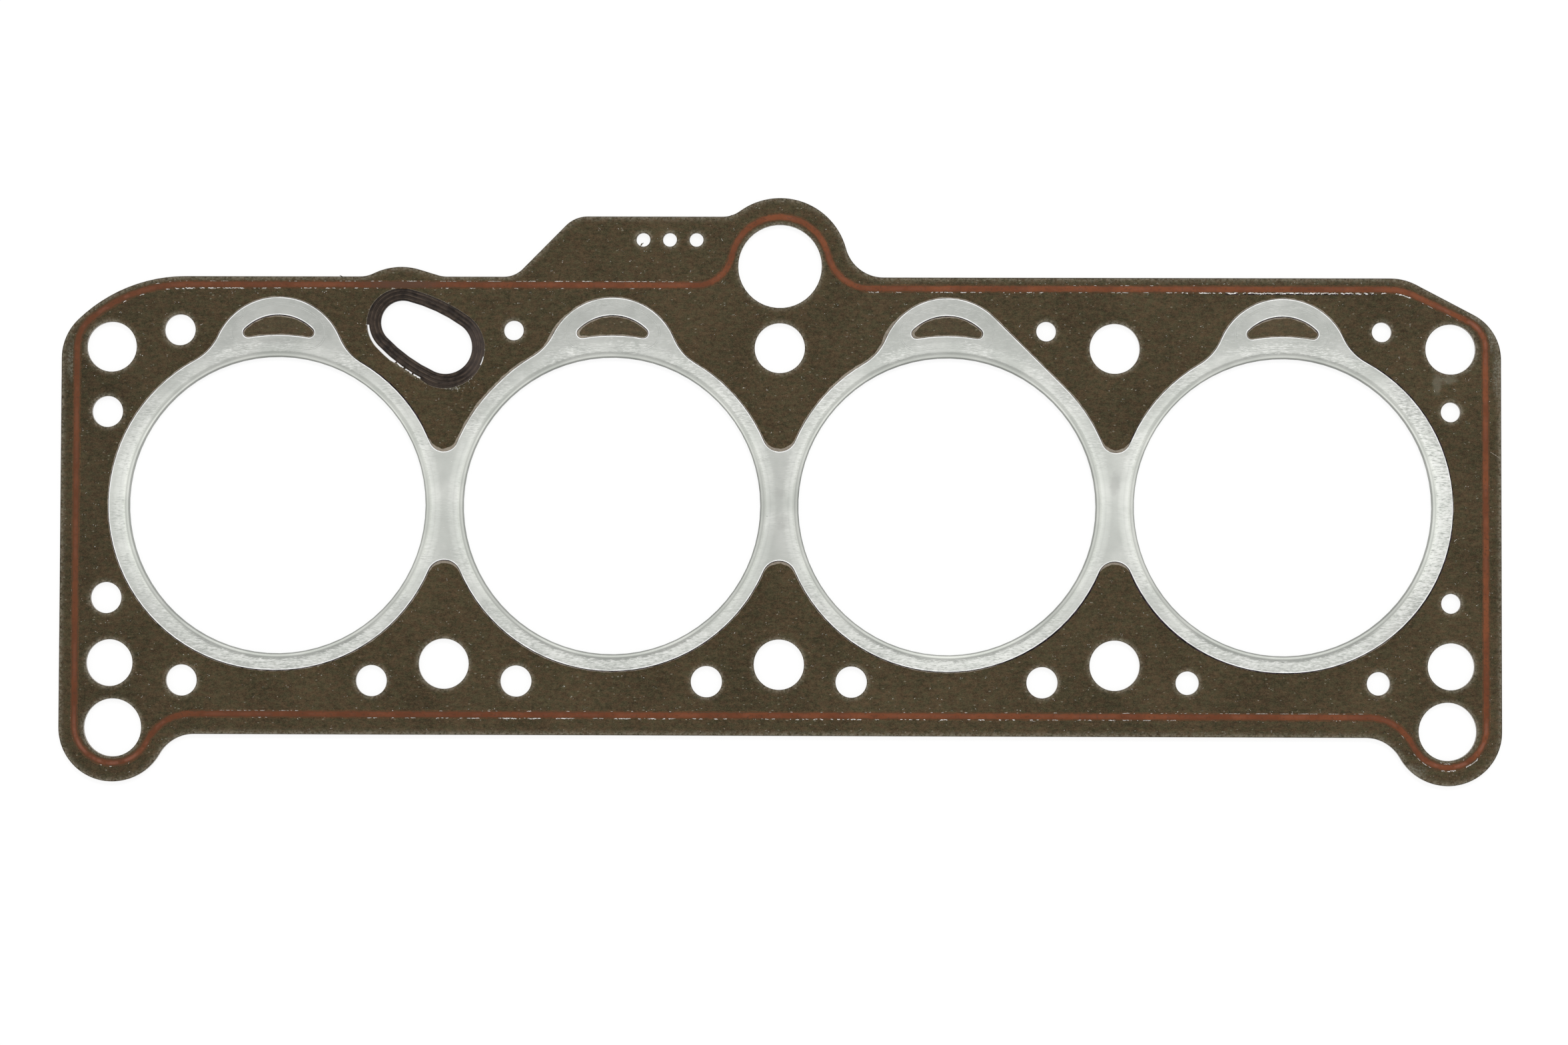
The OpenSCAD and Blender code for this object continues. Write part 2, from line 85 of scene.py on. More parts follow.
# Levels of the sandwich, from the CAD nodes
FACE_TOP = node_level("upper_facing", True)
FACE_BOTTOM = node_level("lower_facing", False)
ARMOUR_TOP = node_level("bore_armour", True)
ARMOUR_BOTTOM = node_level("bore_armour", False)
SEAL_TOP = node_level("oil_passage_seal", True)
BEAD_TOP = node_level("upper_sealing_bead", True)
MOUNTS = {m["name"]: m for m in frame["record"]["mounts"]}
BORE_XS = [MOUNTS[f"bore_{i}"]["pos_m"][0] / MM for i in range(1, 5)]
BORE_R = MOUNTS["bore_1"]["dims"]["r_mm"]
BORE_PITCH = BORE_XS[1] - BORE_XS[0]
WEB_XS = [(a + b) / 2 for a, b in zip(BORE_XS, BORE_XS[1:])]
RING_R = -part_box("bore_armour")[0].y / MM

# The middle rings are wider on their outer quarters by the tab side. The frame's radii
# of those quarters and of the notches that they end in, and the radii that are shown
FRAME_WIDE_R = RING_R + 1.1
FRAME_NOTCH_R = 4.5
WIDE_R = RING_R + 0.6
NOTCH_R = 3.9
WIDE_FADE_Y = (32.0, 39.0)  # between these the wide quarter goes back to the frame's radius
ON_ARC = 0.02  # a point this close to an arc belongs to it

# What tells the edges of a CAD face apart: small holes and windows are at most these
# shares of a bore in area, and of a flange's edges only the outer one is past this radius
HOLE_SHARE = 0.9
WINDOW_SHARE = 0.18
FLANGE_R = 41.0
LEAST_POINTS = 12  # even the smallest outline has this many points

# Dark coat printed on each facing: how far it ends inside a cut edge, and how ragged
COAT_T = 0.015
COAT_EDGE = 0.05
COAT_STEP = 0.45
COAT_RAG = 0.05
COAT_GRAIN = 1.3
LIFT = 0.004  # a thin layer lies this far above what it covers
# Rim of the coat where the cut pressed the sheet's edge down, paler with a painted highlight where
# the edge rounds over
RIM_W = 1.5
OUTER_RIM_W = 1.95
RIM_DROP = 0.010
SEAL_RIM = 0.08  # how strong that rim is beside the seal

# Bare hem between the coat and the armour: its width, how ragged it is, and the
# stretches with a width of their own, as (x, y, reach, width)
HEM = 0.34
HEM_LEAST = 0.02
HEM_RAG = 0.13
HEM_RAG_GAIN = (0.2, 1.3)  # a narrow hem is less ragged than a wide one, within these
HEM_GRAIN = 1.5
HEM_SEED = 21  # the seam follows the same hem as the coat
HEM_FADE = 1.6  # a place's own width is gone at so many times its reach
WINDOW_HEM = 0.16  # so much more along the top of each window
WINDOW_GRAIN = 4.0
HEM_SWAY = 0.10
HEM_SWAY_LENGTH = 38.0
# The wide hem at the bottom of every notch, how far from the row's axis, and its reach
NOTCH_HEM = 0.80
NOTCH_Y = 14.0
NOTCH_REACH = 3.6
HEM_PLACES = (
    (-101, 27, 13, 0.0),
    (-76, 27, 13, 0.62),
    (14, 40, 9, 0.62),
    (76, -30, 16, 0.03),
    (99, -30, 16, 0.03),
    (92, 8, 10, 0.05),
    (168, 27, 20, 0.03),
    (175, -20, 14, 0.10),
    (-56, -4, 1.8, 0.85),
    (-56.5, 44, 4, 0.85),
    (31.5, 44, 4, 0.95),
)

# Tips of the core's tangs, in two staggered grids: their pitch, a place in the first
# grid, the share that shows, how clear they stay of an edge, and how far they stray
TANG_PITCH = (6.0, 5.6)
TANG_AT = (0.1, 0.0)
TANG_SHOWN = 0.72
TANG_CLEAR = 1.0
TANG_JITTER = (0.76, 0.38)
TANG_RISE = 0.03
TANG_ROWS = 90
TANG_START = 40  # the first row and column lie this many pitches before TANG_AT
TANG_SLIVERS = (1, 2, 2, 3, 4)  # how many slivers a tip may have, each as likely
TANG_SLIVER = ((0.12, 0.42), (0.05, 0.14), (-60, 60))  # length, width and direction

# Glossy flakes of silicone at the edges of the upper bead, as
# (edge, x, y, reach, share of the length that they cover, greatest width)
BEAD_FLAKES = (
    ("outer", -139, -56, 6, 0.10, 0.12),
    ("outer", -103, -56, 6, 0.22, 0.16),
    ("outer", -91, -56, 6, 0.30, 0.18),
    ("outer", -79, -56, 6, 0.36, 0.16),
    ("outer", -67, -56, 6, 0.60, 0.24),
    ("outer", -55, -56, 6, 0.38, 0.20),
    ("outer", -37, -56, 12, 0.42, 0.20),
    ("outer", -19, -56, 6, 0.24, 0.20),
    ("outer", -7, -56, 6, 0.14, 0.18),
    ("outer", 4, -56, 6, 0.28, 0.22),
    ("outer", 16, -56, 6, 0.44, 0.20),
    ("outer", 34, -56, 12, 0.24, 0.22),
    ("outer", 58, -56, 12, 0.20, 0.22),
    ("outer", 76, -56, 6, 0.26, 0.18),
    ("outer", 88, -56, 6, 0.38, 0.18),
    ("outer", 100, -56, 6, 0.28, 0.18),
    ("outer", 148, -56, 6, 0.06, 0.18),
    ("outer", -172, -67, 6, 0.12, 0.18),
    ("outer", 168, -66, 6, 0.40, 0.14),
    ("outer", 179, -68, 6, 0.55, 0.24),
    ("outer", 93, 59, 12, 0.16, 0.10),
    ("outer", -26, 59, 6, 0.30, 0.10),
    ("outer", -38, 59, 6, 0.78, 0.13),
    ("outer", -50, 59, 6, 0.44, 0.14),
    ("outer", -62, 59, 6, 0.50, 0.14),
    ("outer", -80, 59, 12, 0.38, 0.08),
    ("outer", -98, 59, 6, 0.44, 0.15),
    ("outer", -116, 59, 12, 0.20, 0.09),
    ("outer", -146, 59, 6, 0.32, 0.07),
    ("outer", -158, 59, 6, 0.14, 0.08),
    ("inner", -169, 55, 6, 0.18, 0.16),
    ("inner", -151, 56, 9, 0.70, 0.24),
    ("inner", -133, 57, 6, 0.42, 0.18),
    ("inner", -121, 57, 6, 0.34, 0.18),
    ("inner", -109, 57, 6, 0.22, 0.18),
    ("inner", -73, 57, 16, 0.12, 0.14),
    ("inner", -40, 57, 12, 0.10, 0.14),
    ("inner", 28, 56, 6, 0.18, 0.18),
    ("inner", 45, 56, 8, 0.38, 0.20),
    ("inner", 64, 56, 6, 0.22, 0.20),
    ("inner", 76, 56, 6, 0.12, 0.18),
    ("inner", 88, 56, 6, 0.30, 0.18),
    ("inner", 100, 56, 6, 0.22, 0.18),
    ("inner", 112, 56, 6, 0.60, 0.28),
    ("inner", 136, 56, 19, 0.90, 0.36),
    ("inner", 161, 56, 6, 0.50, 0.26),
    ("inner", 172, 53, 6, 0.28, 0.12),
    ("inner", 131, -54, 20, 0.55, 0.07),
    ("inner", 98, -54, 12, 0.18, 0.08),
    ("inner", 40, -54, 40, 0.06, 0.10),
    ("inner", -60, -54, 30, 0.08, 0.12),
    ("inner", -138, -54, 10, 0.45, 0.07),
    ("inner", 177, -67, 5, 0.16, 0.18),
)

# How the flakes break up: ripples, as (share, length), evened out over so many points
FLAKE_STEP = 0.22
FLAKE_RUNS = ((0.45, 3.2), (0.55, 0.9))
FLAKE_WINDOW = 25
FLAKE_FADE = 1.5  # a stretch's share is gone at so many times its reach
FLAKE_LEAST_W = 0.09
FLAKE_LENGTH = (0.2, 0.6)
FLAKE_TURN_DEG = 12
FLAKE_RISE = 0.05
# Flash wider than this has a painted shadow, a dark line along its outer edge, so far out and so
# wide
BROAD_FLASH = 0.3
FLASH_SHADE_OUT = 0.12
FLASH_SHADE_W = 0.30
FLASH_SHADE_TURN_DEG = 6
FLASH_SHADE_RISE = 0.01

# Shape of a chip: its number of sides, how far its corners stray, and where its peak is
CHIP_SIDES = (5, 6, 7)
CHIP_STRAY = 0.25
CHIP_REACH = (0.7, 1.15)
CHIP_LEAN = 0.3
CHIP_PEAK = (0.5, 1.3)

# Burrs of the coat at cut edges, each (x, y, length, width, direction)
BURR_RISE = 0.03
HOLE_BURRS = (
    (-36.55, 68.75, 1.0, 0.55, 70.0),
    (-36.25, 69.05, 0.9, 0.28, 35.0),
    (-115.6, 60.35, 1.0, 0.26, 160.0),
    (-12.9, 76.5, 0.8, 0.22, 20.0),
)
# Fine scratch across the coat at the right edge, in broken lengths, as the burrs are
SCRATCH_RISE = 0.015
COAT_SCRATCH = (
    (186.50, 14.60, 0.70, 0.14, -31.0),
    (187.10, 14.22, 1.00, 0.20, -34.0),
    (187.75, 13.80, 0.95, 0.24, -33.0),
    (188.35, 13.40, 0.90, 0.22, -35.0),
    (188.75, 13.13, 0.45, 0.17, -30.0),
)

# Rubber flash that fills the slack round the seal, all but these openings, given
# by the direction from the middle of the seal in degrees
FLASH_OPEN = ((168.5, 218.3), (221.9, 233.5), (237.1, 248.4), (251.9, 261.5), (333, 339.8))
FLASH_DROP = 0.22
SEAL_R = 15  # about how far the seal's edge is from its middle
SEAL_STEP_DEG = 0.75
FLASH_LAP = (0.06, 0.02)  # how far it goes under the seal, and into the hole's wall
FLASH_RAG_DEG = 1.4
FLASH_GRAIN = 0.9
# Stretch where the coat creeps in over the edge of the seal's hole: from and to, in
# degrees, over how many degrees it fades, and how far it reaches
CREEP = (222, 262, 10, 0.48)
CREEP_LAP = 0.35  # how far it lies on the coat
CREEP_RAG = 0.5
CREEP_GRAIN = 0.8
CREEP_LEAST = 0.02
CREEP_PALE = (0.9, 0.3)  # how pale it is at its edge, and where it joins the coat
# Sheen on the seal's outer end, as (x, y, reach along x, reach along y)
SEAL_SHEEN = (-79.5, 40.5, 5.0, 10.0)
# Dust and crumbs beside the seal, as (x, y, reach along x, reach along y, number)
SEAL_DUST = (
    (-107.9, 50.6, 0.25, 0.8, 7),
    (-87.1, 53.2, 0.3, 0.2, 3),
    (-85.7, 51.9, 0.5, 0.3, 4),
    (-89.5, 31.3, 2.2, 0.35, 22),
    (-86.0, 30.7, 2.2, 0.6, 48),
    (-81.5, 33.4, 1.6, 1.4, 16),
    (-108.9, 46.0, 0.5, 2.6, 14),
)
CRUMB = ((0.12, 0.45), (0.08, 0.2), (0, 180))  # length, width and direction
CRUMB_RISE = 0.05
# Crumbs along the edge of the seal's hole: a place each step, and the share that has one
RIM_CRUMB = ((0.15, 0.4), (0.06, 0.13))
RIM_CRUMB_STEP = 0.3
RIM_CRUMB_OUT = 0.07
RIM_CRUMB_SHARE = 0.14

# Smudges on the coat and the armour and the stain on the bead, as
# (x, y, reach along x, reach along y)
COAT_SMUDGES = (
    (172.4, 32.6, 1.7, 3.8),
    (175.4, 33.4, 3.0, 1.4),
    (-60.0, 24.0, 3.0, 1.2),
)
# Scuffs on the coat beside the outer edge, as (x, y, reach along x, reach along y)
COAT_SCUFFS = (
    (183.4, 49.8, 4.2, 1.7),
    (186.8, 44.6, 2.0, 4.2),
    (188.0, 35.0, 1.2, 7.0),
    (-158.0, -68.5, 4.0, 2.2),
    (166.0, -69.0, 4.0, 2.0),
    (-186.5, 38.0, 1.6, 6.0),
)
ARMOUR_SMUDGES = (
    (0.1, 3.5, 2.4, 2.2),
    (1.0, -4.4, 2.0, 3.0),
    (88.0, 6.0, 2.0, 4.0),
    (-133.0, 43.0, 6.0, 1.2),
)
BEAD_STAIN = (-99.0, 58.0, 13.0, 6.0)
# Corners and lobes where the bead is worn, as (x, y, reach along x, reach along y)
BEAD_WORN = (
    (-174.0, -64.0, 18.0, 13.0),
    (174.0, -64.0, 18.0, 13.0),
    (181.0, 47.0, 11.0, 11.0),
    (-178.0, 49.0, 14.0, 10.0),
)
# Parts of the armour that are lighter or darker as a whole, mostly painted reflection,
# the darker middle web also a rubbed patch, as (x, y, reach along x, reach along y, gain)
ARMOUR_TONES = (
    (-174.0, 0.0, 12.0, 34.0, 0.11),
    (174.0, 0.0, 12.0, 34.0, 0.13),
    (0.0, 0.0, 9.0, 22.0, -0.14),
    (52.0, -42.0, 24.0, 8.0, 0.14),
    (-132.0, -42.0, 20.0, 6.0, 0.05),
    (-44.0, 50.0, 16.0, 9.0, -0.035),
    (44.0, 50.0, 16.0, 9.0, -0.05),
)

# Brown bleed of the printed bead into the coat beside it
BLEED_W = 0.22
BLEED_LEAST = 0.02
BLEED_IN = 0.05
BLEED_RAG = 0.16
BLEED_GRAIN = 1.1
BLEED_SWAY = 0.6
BLEED_SWAY_LENGTH = 9.0

# Rolled edge, seam and pressed line of the armour
EDGE_R = 0.14
EDGE_STEP = 0.5
EDGE_IN = 0.9  # its middle lies so many radii inside the sheet's edge
EDGE_SINK = 0.5  # and so many under the top of the sheet
SEAM_IN = 0.05
SEAM_OUT = 0.37  # where the hem is narrow; a wide hem leaves less of it
SEAM_SHY = 0.62
SEAM_LEAST = 0.12  # before the light and its raggedness change it
SEAM_THINNEST = 0.06
SEAM_SHADE = 0.07  # so much wider below an edge that faces away from the light
SEAM_RAG = 0.09
SEAM_GRAIN = 1.2
PRESSED_OUT = (2.7, 3.15)
PRESSED_R = 0.16
PRESSED_RISE = 0.012
PRESSED_STEP = 0.4

# Table, dome, lamp and camera
TABLE_SIZE_M = 6.0
TABLE_DROP_M = 0.00002
TABLE_WHITE = 0.85
TABLE_GLOW = 1.06
TABLE_GLOW_SHARE = 0.8
# A pale dome: level overhead, brightest halfway down, dim at the horizon
DOME = ((0.0, 0.30), (0.12, 0.45), (0.35, 0.95), (0.6, 1.0), (0.85, 0.86), (1.0, 0.84))
DOME_STRENGTH = 0.9
DOME_FOOT = (0.30, 0.15)  # between these heights it turns as white as the table
LAMP_AT_M = (0.25, 1.0, 1.5)
LAMP_SIZE_M = 0.6
LAMP_WATTS = 9.0
CAMERA_AT_M = (0.01128, -0.02987, 0.90667)
CAMERA_TURN_DEG = (1.6212, 0.6295, 0.176)
CAMERA_LENS = 79.2
CAMERA_SENSOR = 36.0
CAMERA_NEAR_M = 0.01


def signed_area(points):
    """Area that an outline encloses, negative where it runs clockwise."""
    x, y = points[:, 0], points[:, 1]
    return 0.5 * float(np.sum(x * np.roll(y, -1) - np.roll(x, -1) * y))


def loops_at(node, level):
    """Closed edges of a CAD node's flat faces at a level, the one round the most area first."""
    bm = bmesh.new()
    bm.from_mesh(frame["nodes"][node].data)
    bmesh.ops.remove_doubles(bm, verts=bm.verts, dist=WELD)
    bm.verts.index_update()
    flat = {f for f in bm.faces if all(abs(v.co.z - level * MM) < WELD for v in f.verts)}
    ends = {}
    for edge in bm.edges:
        if sum(f in flat for f in edge.link_faces) == 1:
            a, b = (v.index for v in edge.verts)
            ends.setdefault(a, []).append(b)
            ends.setdefault(b, []).append(a)
    bm.verts.ensure_lookup_table()
    places = [(v.co.x / MM, v.co.y / MM) for v in bm.verts]
    bm.free()
    loops = []
    while ends:
        here = next(iter(ends))
        ahead = ends.pop(here)[0]
        loop = [here]
        while ahead in ends:
            a, b = ends.pop(ahead)[:2]
            came, here = here, ahead
            loop.append(here)
            ahead = b if a == came else a
        if len(loop) > 2:
            loops.append(np.array([places[i] for i in loop]))
    return sorted(loops, key=lambda points: -abs(signed_area(points)))


def even_points(loop, step):
    """The same closed outline with points an even step apart."""
    closed = np.vstack([loop, loop[:1]])
    reach = np.concatenate([[0], np.cumsum(np.hypot(*np.diff(closed, axis=0).T))])
    count = max(LEAST_POINTS, round(reach[-1] / step))
    at = np.linspace(0, reach[-1], count, endpoint=False)
    return np.column_stack([np.interp(at, reach, closed[:, k]) for k in (0, 1)])


def outward(points):
    """Unit directions away from what a closed outline encloses, one a point."""
    ahead = np.roll(points, -1, 0) - np.roll(points, 1, 0)
    normal = np.column_stack([ahead[:, 1], -ahead[:, 0]])
    normal /= np.maximum(np.linalg.norm(normal, axis=1), 1e-9)[:, None]
    return normal * math.copysign(1, signed_area(points))


def ripple(points, length, seed):
    """Smooth chance values from -1 to 1 along an outline, about a length apart."""
    return np.array([noise.noise(Vector((x / length, y / length, seed))) for x, y in points])


def pushed(points, distance):
    """An outline moved outward by a distance, which may differ from point to point."""
    return points + outward(points) * np.reshape(distance, (-1, 1))


def inside(points, loop):
    """Which points lie inside a closed outline."""
    x, y = points[:, 0:1], points[:, 1:2]
    ax, ay = loop[:, 0], loop[:, 1]
    bx, by = np.roll(ax, -1), np.roll(ay, -1)
    spans = (ay > y) != (by > y)
    with np.errstate(divide="ignore", invalid="ignore"):
        cross = ax + (y - ay) * (bx - ax) / (by - ay)
    return (np.sum(spans & (x < cross), axis=1) % 2).astype(bool)


def near(points, loop, distance):
    """Which points lie within a distance of an outline."""
    spots = even_points(loop, distance / 2)
    gaps = np.hypot(points[:, 0:1] - spots[:, 0], points[:, 1:2] - spots[:, 1])
    return gaps.min(axis=1) < distance


def chance_values(chance, ranges):
    """One chance value from each range."""
    return [chance.uniform(low, high) for low, high in ranges]


# The armour's two deep notches


def notch_middle(wide_r, notch_r):
    """Middle of a notch's arc, from the bore of its plain ring towards the wide one, and up."""
    plain, wide = RING_R + notch_r, wide_r + notch_r
    along = (BORE_PITCH**2 + plain**2 - wide**2) / (2 * BORE_PITCH)
    return along, math.sqrt(plain**2 - along**2)


def notch_ends(along, up):
    """Directions from the middle of a notch's arc to where it meets the plain and the wide ring."""
    return math.atan2(-up, -along), math.atan2(-up, BORE_PITCH - along)


def notched(x, y):
    """Where a point of the frame's armour lies once its two deep notches have their true depth."""
    along, up = notch_middle(FRAME_WIDE_R, FRAME_NOTCH_R)
    for plain_x, way in ((BORE_XS[0], 1), (BORE_XS[3], -1)):
        u = (x - plain_x) * way
        if y < 0 or not 0 < u < BORE_PITCH:
            continue
        if abs(math.hypot(u - BORE_PITCH, y) - FRAME_WIDE_R) < ON_ARC:
            gain = np.interp(y, WIDE_FADE_Y, (WIDE_R / FRAME_WIDE_R, 1.0))
            return plain_x + way * (BORE_PITCH + (u - BORE_PITCH) * gain), y * gain
        if abs(math.hypot(u - along, y - up) - FRAME_NOTCH_R) < ON_ARC:
            new_along, new_up = notch_middle(WIDE_R, NOTCH_R)
            turn = np.interp(
                math.atan2(y - up, u - along), notch_ends(along, up), notch_ends(new_along, new_up)
            )
            u = new_along + NOTCH_R * math.cos(turn)
            return plain_x + way * u, new_up + NOTCH_R * math.sin(turn)
    return x, y


# Making pieces


def placed(name, data):
    """A new object in the scene."""
    obj = bpy.data.objects.new(name, data)
    bpy.context.scene.collection.objects.link(obj)
    return obj


def piece(name, mesh, material, smooth=False):
    """Puts a mesh, made in mm, into the scene as a piece that goes with the part."""
    mesh.transform(Matrix.Scale(MM, 4))
    mesh.name = name
    obj = placed(name, mesh)
    for polygon in mesh.polygons:
        polygon.use_smooth = smooth
    mesh.materials.clear()
    mesh.materials.append(material)
    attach(obj, "root")
    return obj


def curve_mesh(curve):
    """The mesh of a curve, with the curve itself taken away."""
    holder = placed("drawn", curve)
    bpy.context.view_layer.update()
    graph = bpy.context.evaluated_depsgraph_get()
    mesh = bpy.data.meshes.new_from_object(holder.evaluated_get(graph))
    bpy.data.objects.remove(holder)
    bpy.data.curves.remove(curve)
    return mesh


def add_spline(curve, points, z=0.0):
    """Adds a closed outline of straight stretches to a curve."""
    spline = curve.splines.new("POLY")
    spline.points.add(len(points) - 1)
    for spot, (x, y) in zip(spline.points, points):
        spot.co = (x, y, z, 1)
    spline.use_cyclic_u = True


def filled_sheet(loops, level, thickness):
    """A thin sheet between nested outlines: the first loop is filled, the next cut out."""
    curve = bpy.data.curves.new("sheet", "CURVE")
    curve.dimensions = "2D"
    curve.fill_mode = "BOTH"
    curve.extrude = thickness / 2
    for loop in loops:
        add_spline(curve, loop)
    mesh = curve_mesh(curve)
    mesh.transform(Matrix.Translation((0, 0, level)))
    return mesh


def round_line(loops, radius, level, sides=3):
    """A thin round line along closed outlines."""
    curve = bpy.data.curves.new("line", "CURVE")
    curve.dimensions = "3D"
    curve.fill_mode = "FULL"
    curve.bevel_depth = radius
    curve.bevel_resolution = sides
    for loop in loops:
        add_spline(curve, loop, level)
    return curve_mesh(curve)


def strips(pairs, level, keep=None, rise=0.0, up=True):
    """Strips, each between two outlines with as many points; the second may lie higher."""
    spots, faces = [], []
    for first, second in pairs:
        start, count = len(spots), len(first)
        spots += [(x, y, level) for x, y in first]
        spots += [(x, y, level + rise) for x, y in second]
        narrows = abs(signed_area(second)) < abs(signed_area(first))
        turned = ((signed_area(first) > 0) == narrows) != up
        for i in range(count):
            ahead = (i + 1) % count
            if keep is None or (keep[i] and keep[ahead]):
                face = (i, ahead, count + ahead, count + i)
                faces.append([start + k for k in (face[::-1] if turned else face)])
    mesh = bpy.data.meshes.new("strips")
    mesh.from_pydata(spots, [], faces)
    return mesh


def aside(x, y, along, across, turn):
    """A place so far along and across a direction from another."""
    return (
        x + along * math.cos(turn) - across * math.sin(turn),
        y + along * math.sin(turn) + across * math.cos(turn),
    )


def chips(spots, level, rise, seed):
    """Small irregular chips, each (x, y, length, width, direction), with a raised middle."""
    chance = random.Random(seed)
    corners, faces = [], []
    for x, y, length, width, direction in spots:
        start, sides = len(corners), chance.choice(CHIP_SIDES)
        turn = math.radians(direction)
        for k in range(sides):
            around = 2 * math.pi * (k + chance.uniform(-CHIP_STRAY, CHIP_STRAY)) / sides
            reach = chance.uniform(*CHIP_REACH) / 2
            along = reach * length * math.cos(around)
            across = reach * width * math.sin(around)
            corners.append((*aside(x, y, along, across, turn), level))
        lean = chance.uniform(-CHIP_LEAN, CHIP_LEAN) * length
        peak = level + rise * chance.uniform(*CHIP_PEAK)
        corners.append((*aside(x, y, lean, 0, turn), peak))
        faces += [(start + k, start + (k + 1) % sides, start + sides) for k in range(sides)]
    mesh = bpy.data.meshes.new("chips")
    mesh.from_pydata(corners, [], faces if rise > 0 else [face[::-1] for face in faces])
    return mesh


def mark_rim(mesh, strengths):
    """Writes how pale the coat's rim is at each point, for its material."""
    mesh.attributes.new("rim", "FLOAT", "POINT").data.foreach_set("value", strengths)


# Node helpers


def feed(tree, node, inputs):
    """Gives a node its inputs: a socket is linked, any other value is set."""
    for key, value in inputs.items():
        if isinstance(value, bpy.types.NodeSocket):
            tree.links.new(value, node.inputs[key])
        else:
            node.inputs[key].default_value = value


def put(tree, kind, inputs=None, **settings):
    """Adds a node with its settings and inputs."""
    made = tree.nodes.new(kind)
    for name, value in settings.items():
        setattr(made, name, value)
    feed(tree, made, inputs or {})
    return made


def calc(tree, operation, a, b=0.0, clamp=False):
    """One step of arithmetic."""
    made = put(tree, "ShaderNodeMath", {0: a, 1: b}, operation=operation, use_clamp=clamp)
    return made.outputs[0]


def times(tree, a, b, clamp=False):
    return calc(tree, "MULTIPLY", a, b, clamp)


def plus(tree, a, b):
    return calc(tree, "ADD", a, b)


def blend(tree, factor, a, b, mode="MIX"):
    """A mix of two colours."""
    made = put(tree, "ShaderNodeMix", {"Factor": factor}, data_type="RGBA", blend_type=mode)
    for index, value in ((6, a), (7, b)):
        feed(tree, made, {index: (*value, 1) if isinstance(value, tuple) else value})
    return made.outputs[2]


def laid(tree, colour, mask, share, paint, clamp=False):
    """A colour with a paint laid over it where a mask is, at most to a share."""
    return blend(tree, times(tree, mask, share, clamp), colour, paint)


def lerp(tree, factor, a, b):
    """From one value to another."""
    return put(tree, "ShaderNodeMix", {0: factor, 2: a, 3: b}).outputs[0]


def spread(tree, value, low, high, to_low=0.0, to_high=1.0, smooth=True):
    """A value from one range to another, held at both ends."""
    return put(
        tree,
        "ShaderNodeMapRange",
        {0: value, 1: low, 2: high, 3: to_low, 4: to_high},
        interpolation_type="SMOOTHSTEP" if smooth else "LINEAR",
    ).outputs[0]


def ramp(tree, value, stops):
    """A value read off a line through stops, each (value, level)."""
    made = put(tree, "ShaderNodeValToRGB", {0: value})
    elements = made.color_ramp.elements
    while len(elements) < len(stops):
        elements.new(0.5)
    for element, (position, level) in zip(elements, stops):
        element.position = position
        element.color = (level, level, level, 1)
    return made.outputs[0]


def cloud(tree, vector, per_mm, detail=2.0, roughness=0.5):
    """Noise with so many features a millimetre."""
    inputs = {"Vector": vector, "Scale": per_mm / MM, "Detail": detail, "Roughness": roughness}
    return put(tree, "ShaderNodeTexNoise", inputs).outputs["Fac"]


def stretched(tree, vector, x, y, z=1.0):
    """A vector with each axis scaled."""
    inputs = {0: vector, 1: (x, y, z)}
    return put(tree, "ShaderNodeVectorMath", inputs, operation="MULTIPLY").outputs[0]


def axes(tree, vector):
    """The X, Y and Z of a vector."""
    return put(tree, "ShaderNodeSeparateXYZ", {0: vector}).outputs


def new_group(name, inputs, outputs):
    """A shared effect: its sockets, and the nodes that bring them in and take them out."""
    tree = bpy.data.node_groups.new(name, "ShaderNodeTree")
    for label, (kind, default) in inputs.items():
        socket = tree.interface.new_socket(
            label, in_out="INPUT", socket_type="NodeSocket" + kind
        )
        if default is not None:
            socket.default_value = default
    for label, kind in outputs.items():
        tree.interface.new_socket(label, in_out="OUTPUT", socket_type="NodeSocket" + kind)
    given = tree.nodes.new("NodeGroupInput")
    result = tree.nodes.new("NodeGroupOutput")
    return tree, given.outputs, result


def use(tree, group, inputs):
    """Places a shared effect with its own values."""
    made = tree.nodes.new("ShaderNodeGroup")
    made.node_tree = group
    feed(tree, made, inputs)
    return made.outputs


def place_of(tree):
    """Where a point is on the part, the same for every piece."""
    return put(tree, "ShaderNodeNewGeometry").outputs["Position"]


def new_material(name, **values):
    """A material with its Principled shader's fixed values set."""
    material = bpy.data.materials.new(name)
    material.use_nodes = True
    tree = material.node_tree
    shader = tree.nodes["Principled BSDF"]
    for label, value in values.items():
        shader.inputs[label.replace("_", " ")].default_value = value
    return material, tree, shader


def bump(tree, height, distance, strength=1.0, normal=None):
    """A surface's normal from its height, with the distance in mm."""
    inputs = {"Height": height, "Distance": distance * MM, "Strength": strength}
    if normal is not None:
        inputs["Normal"] = normal
    return put(tree, "ShaderNodeBump", inputs).outputs[0]


# Shared effects


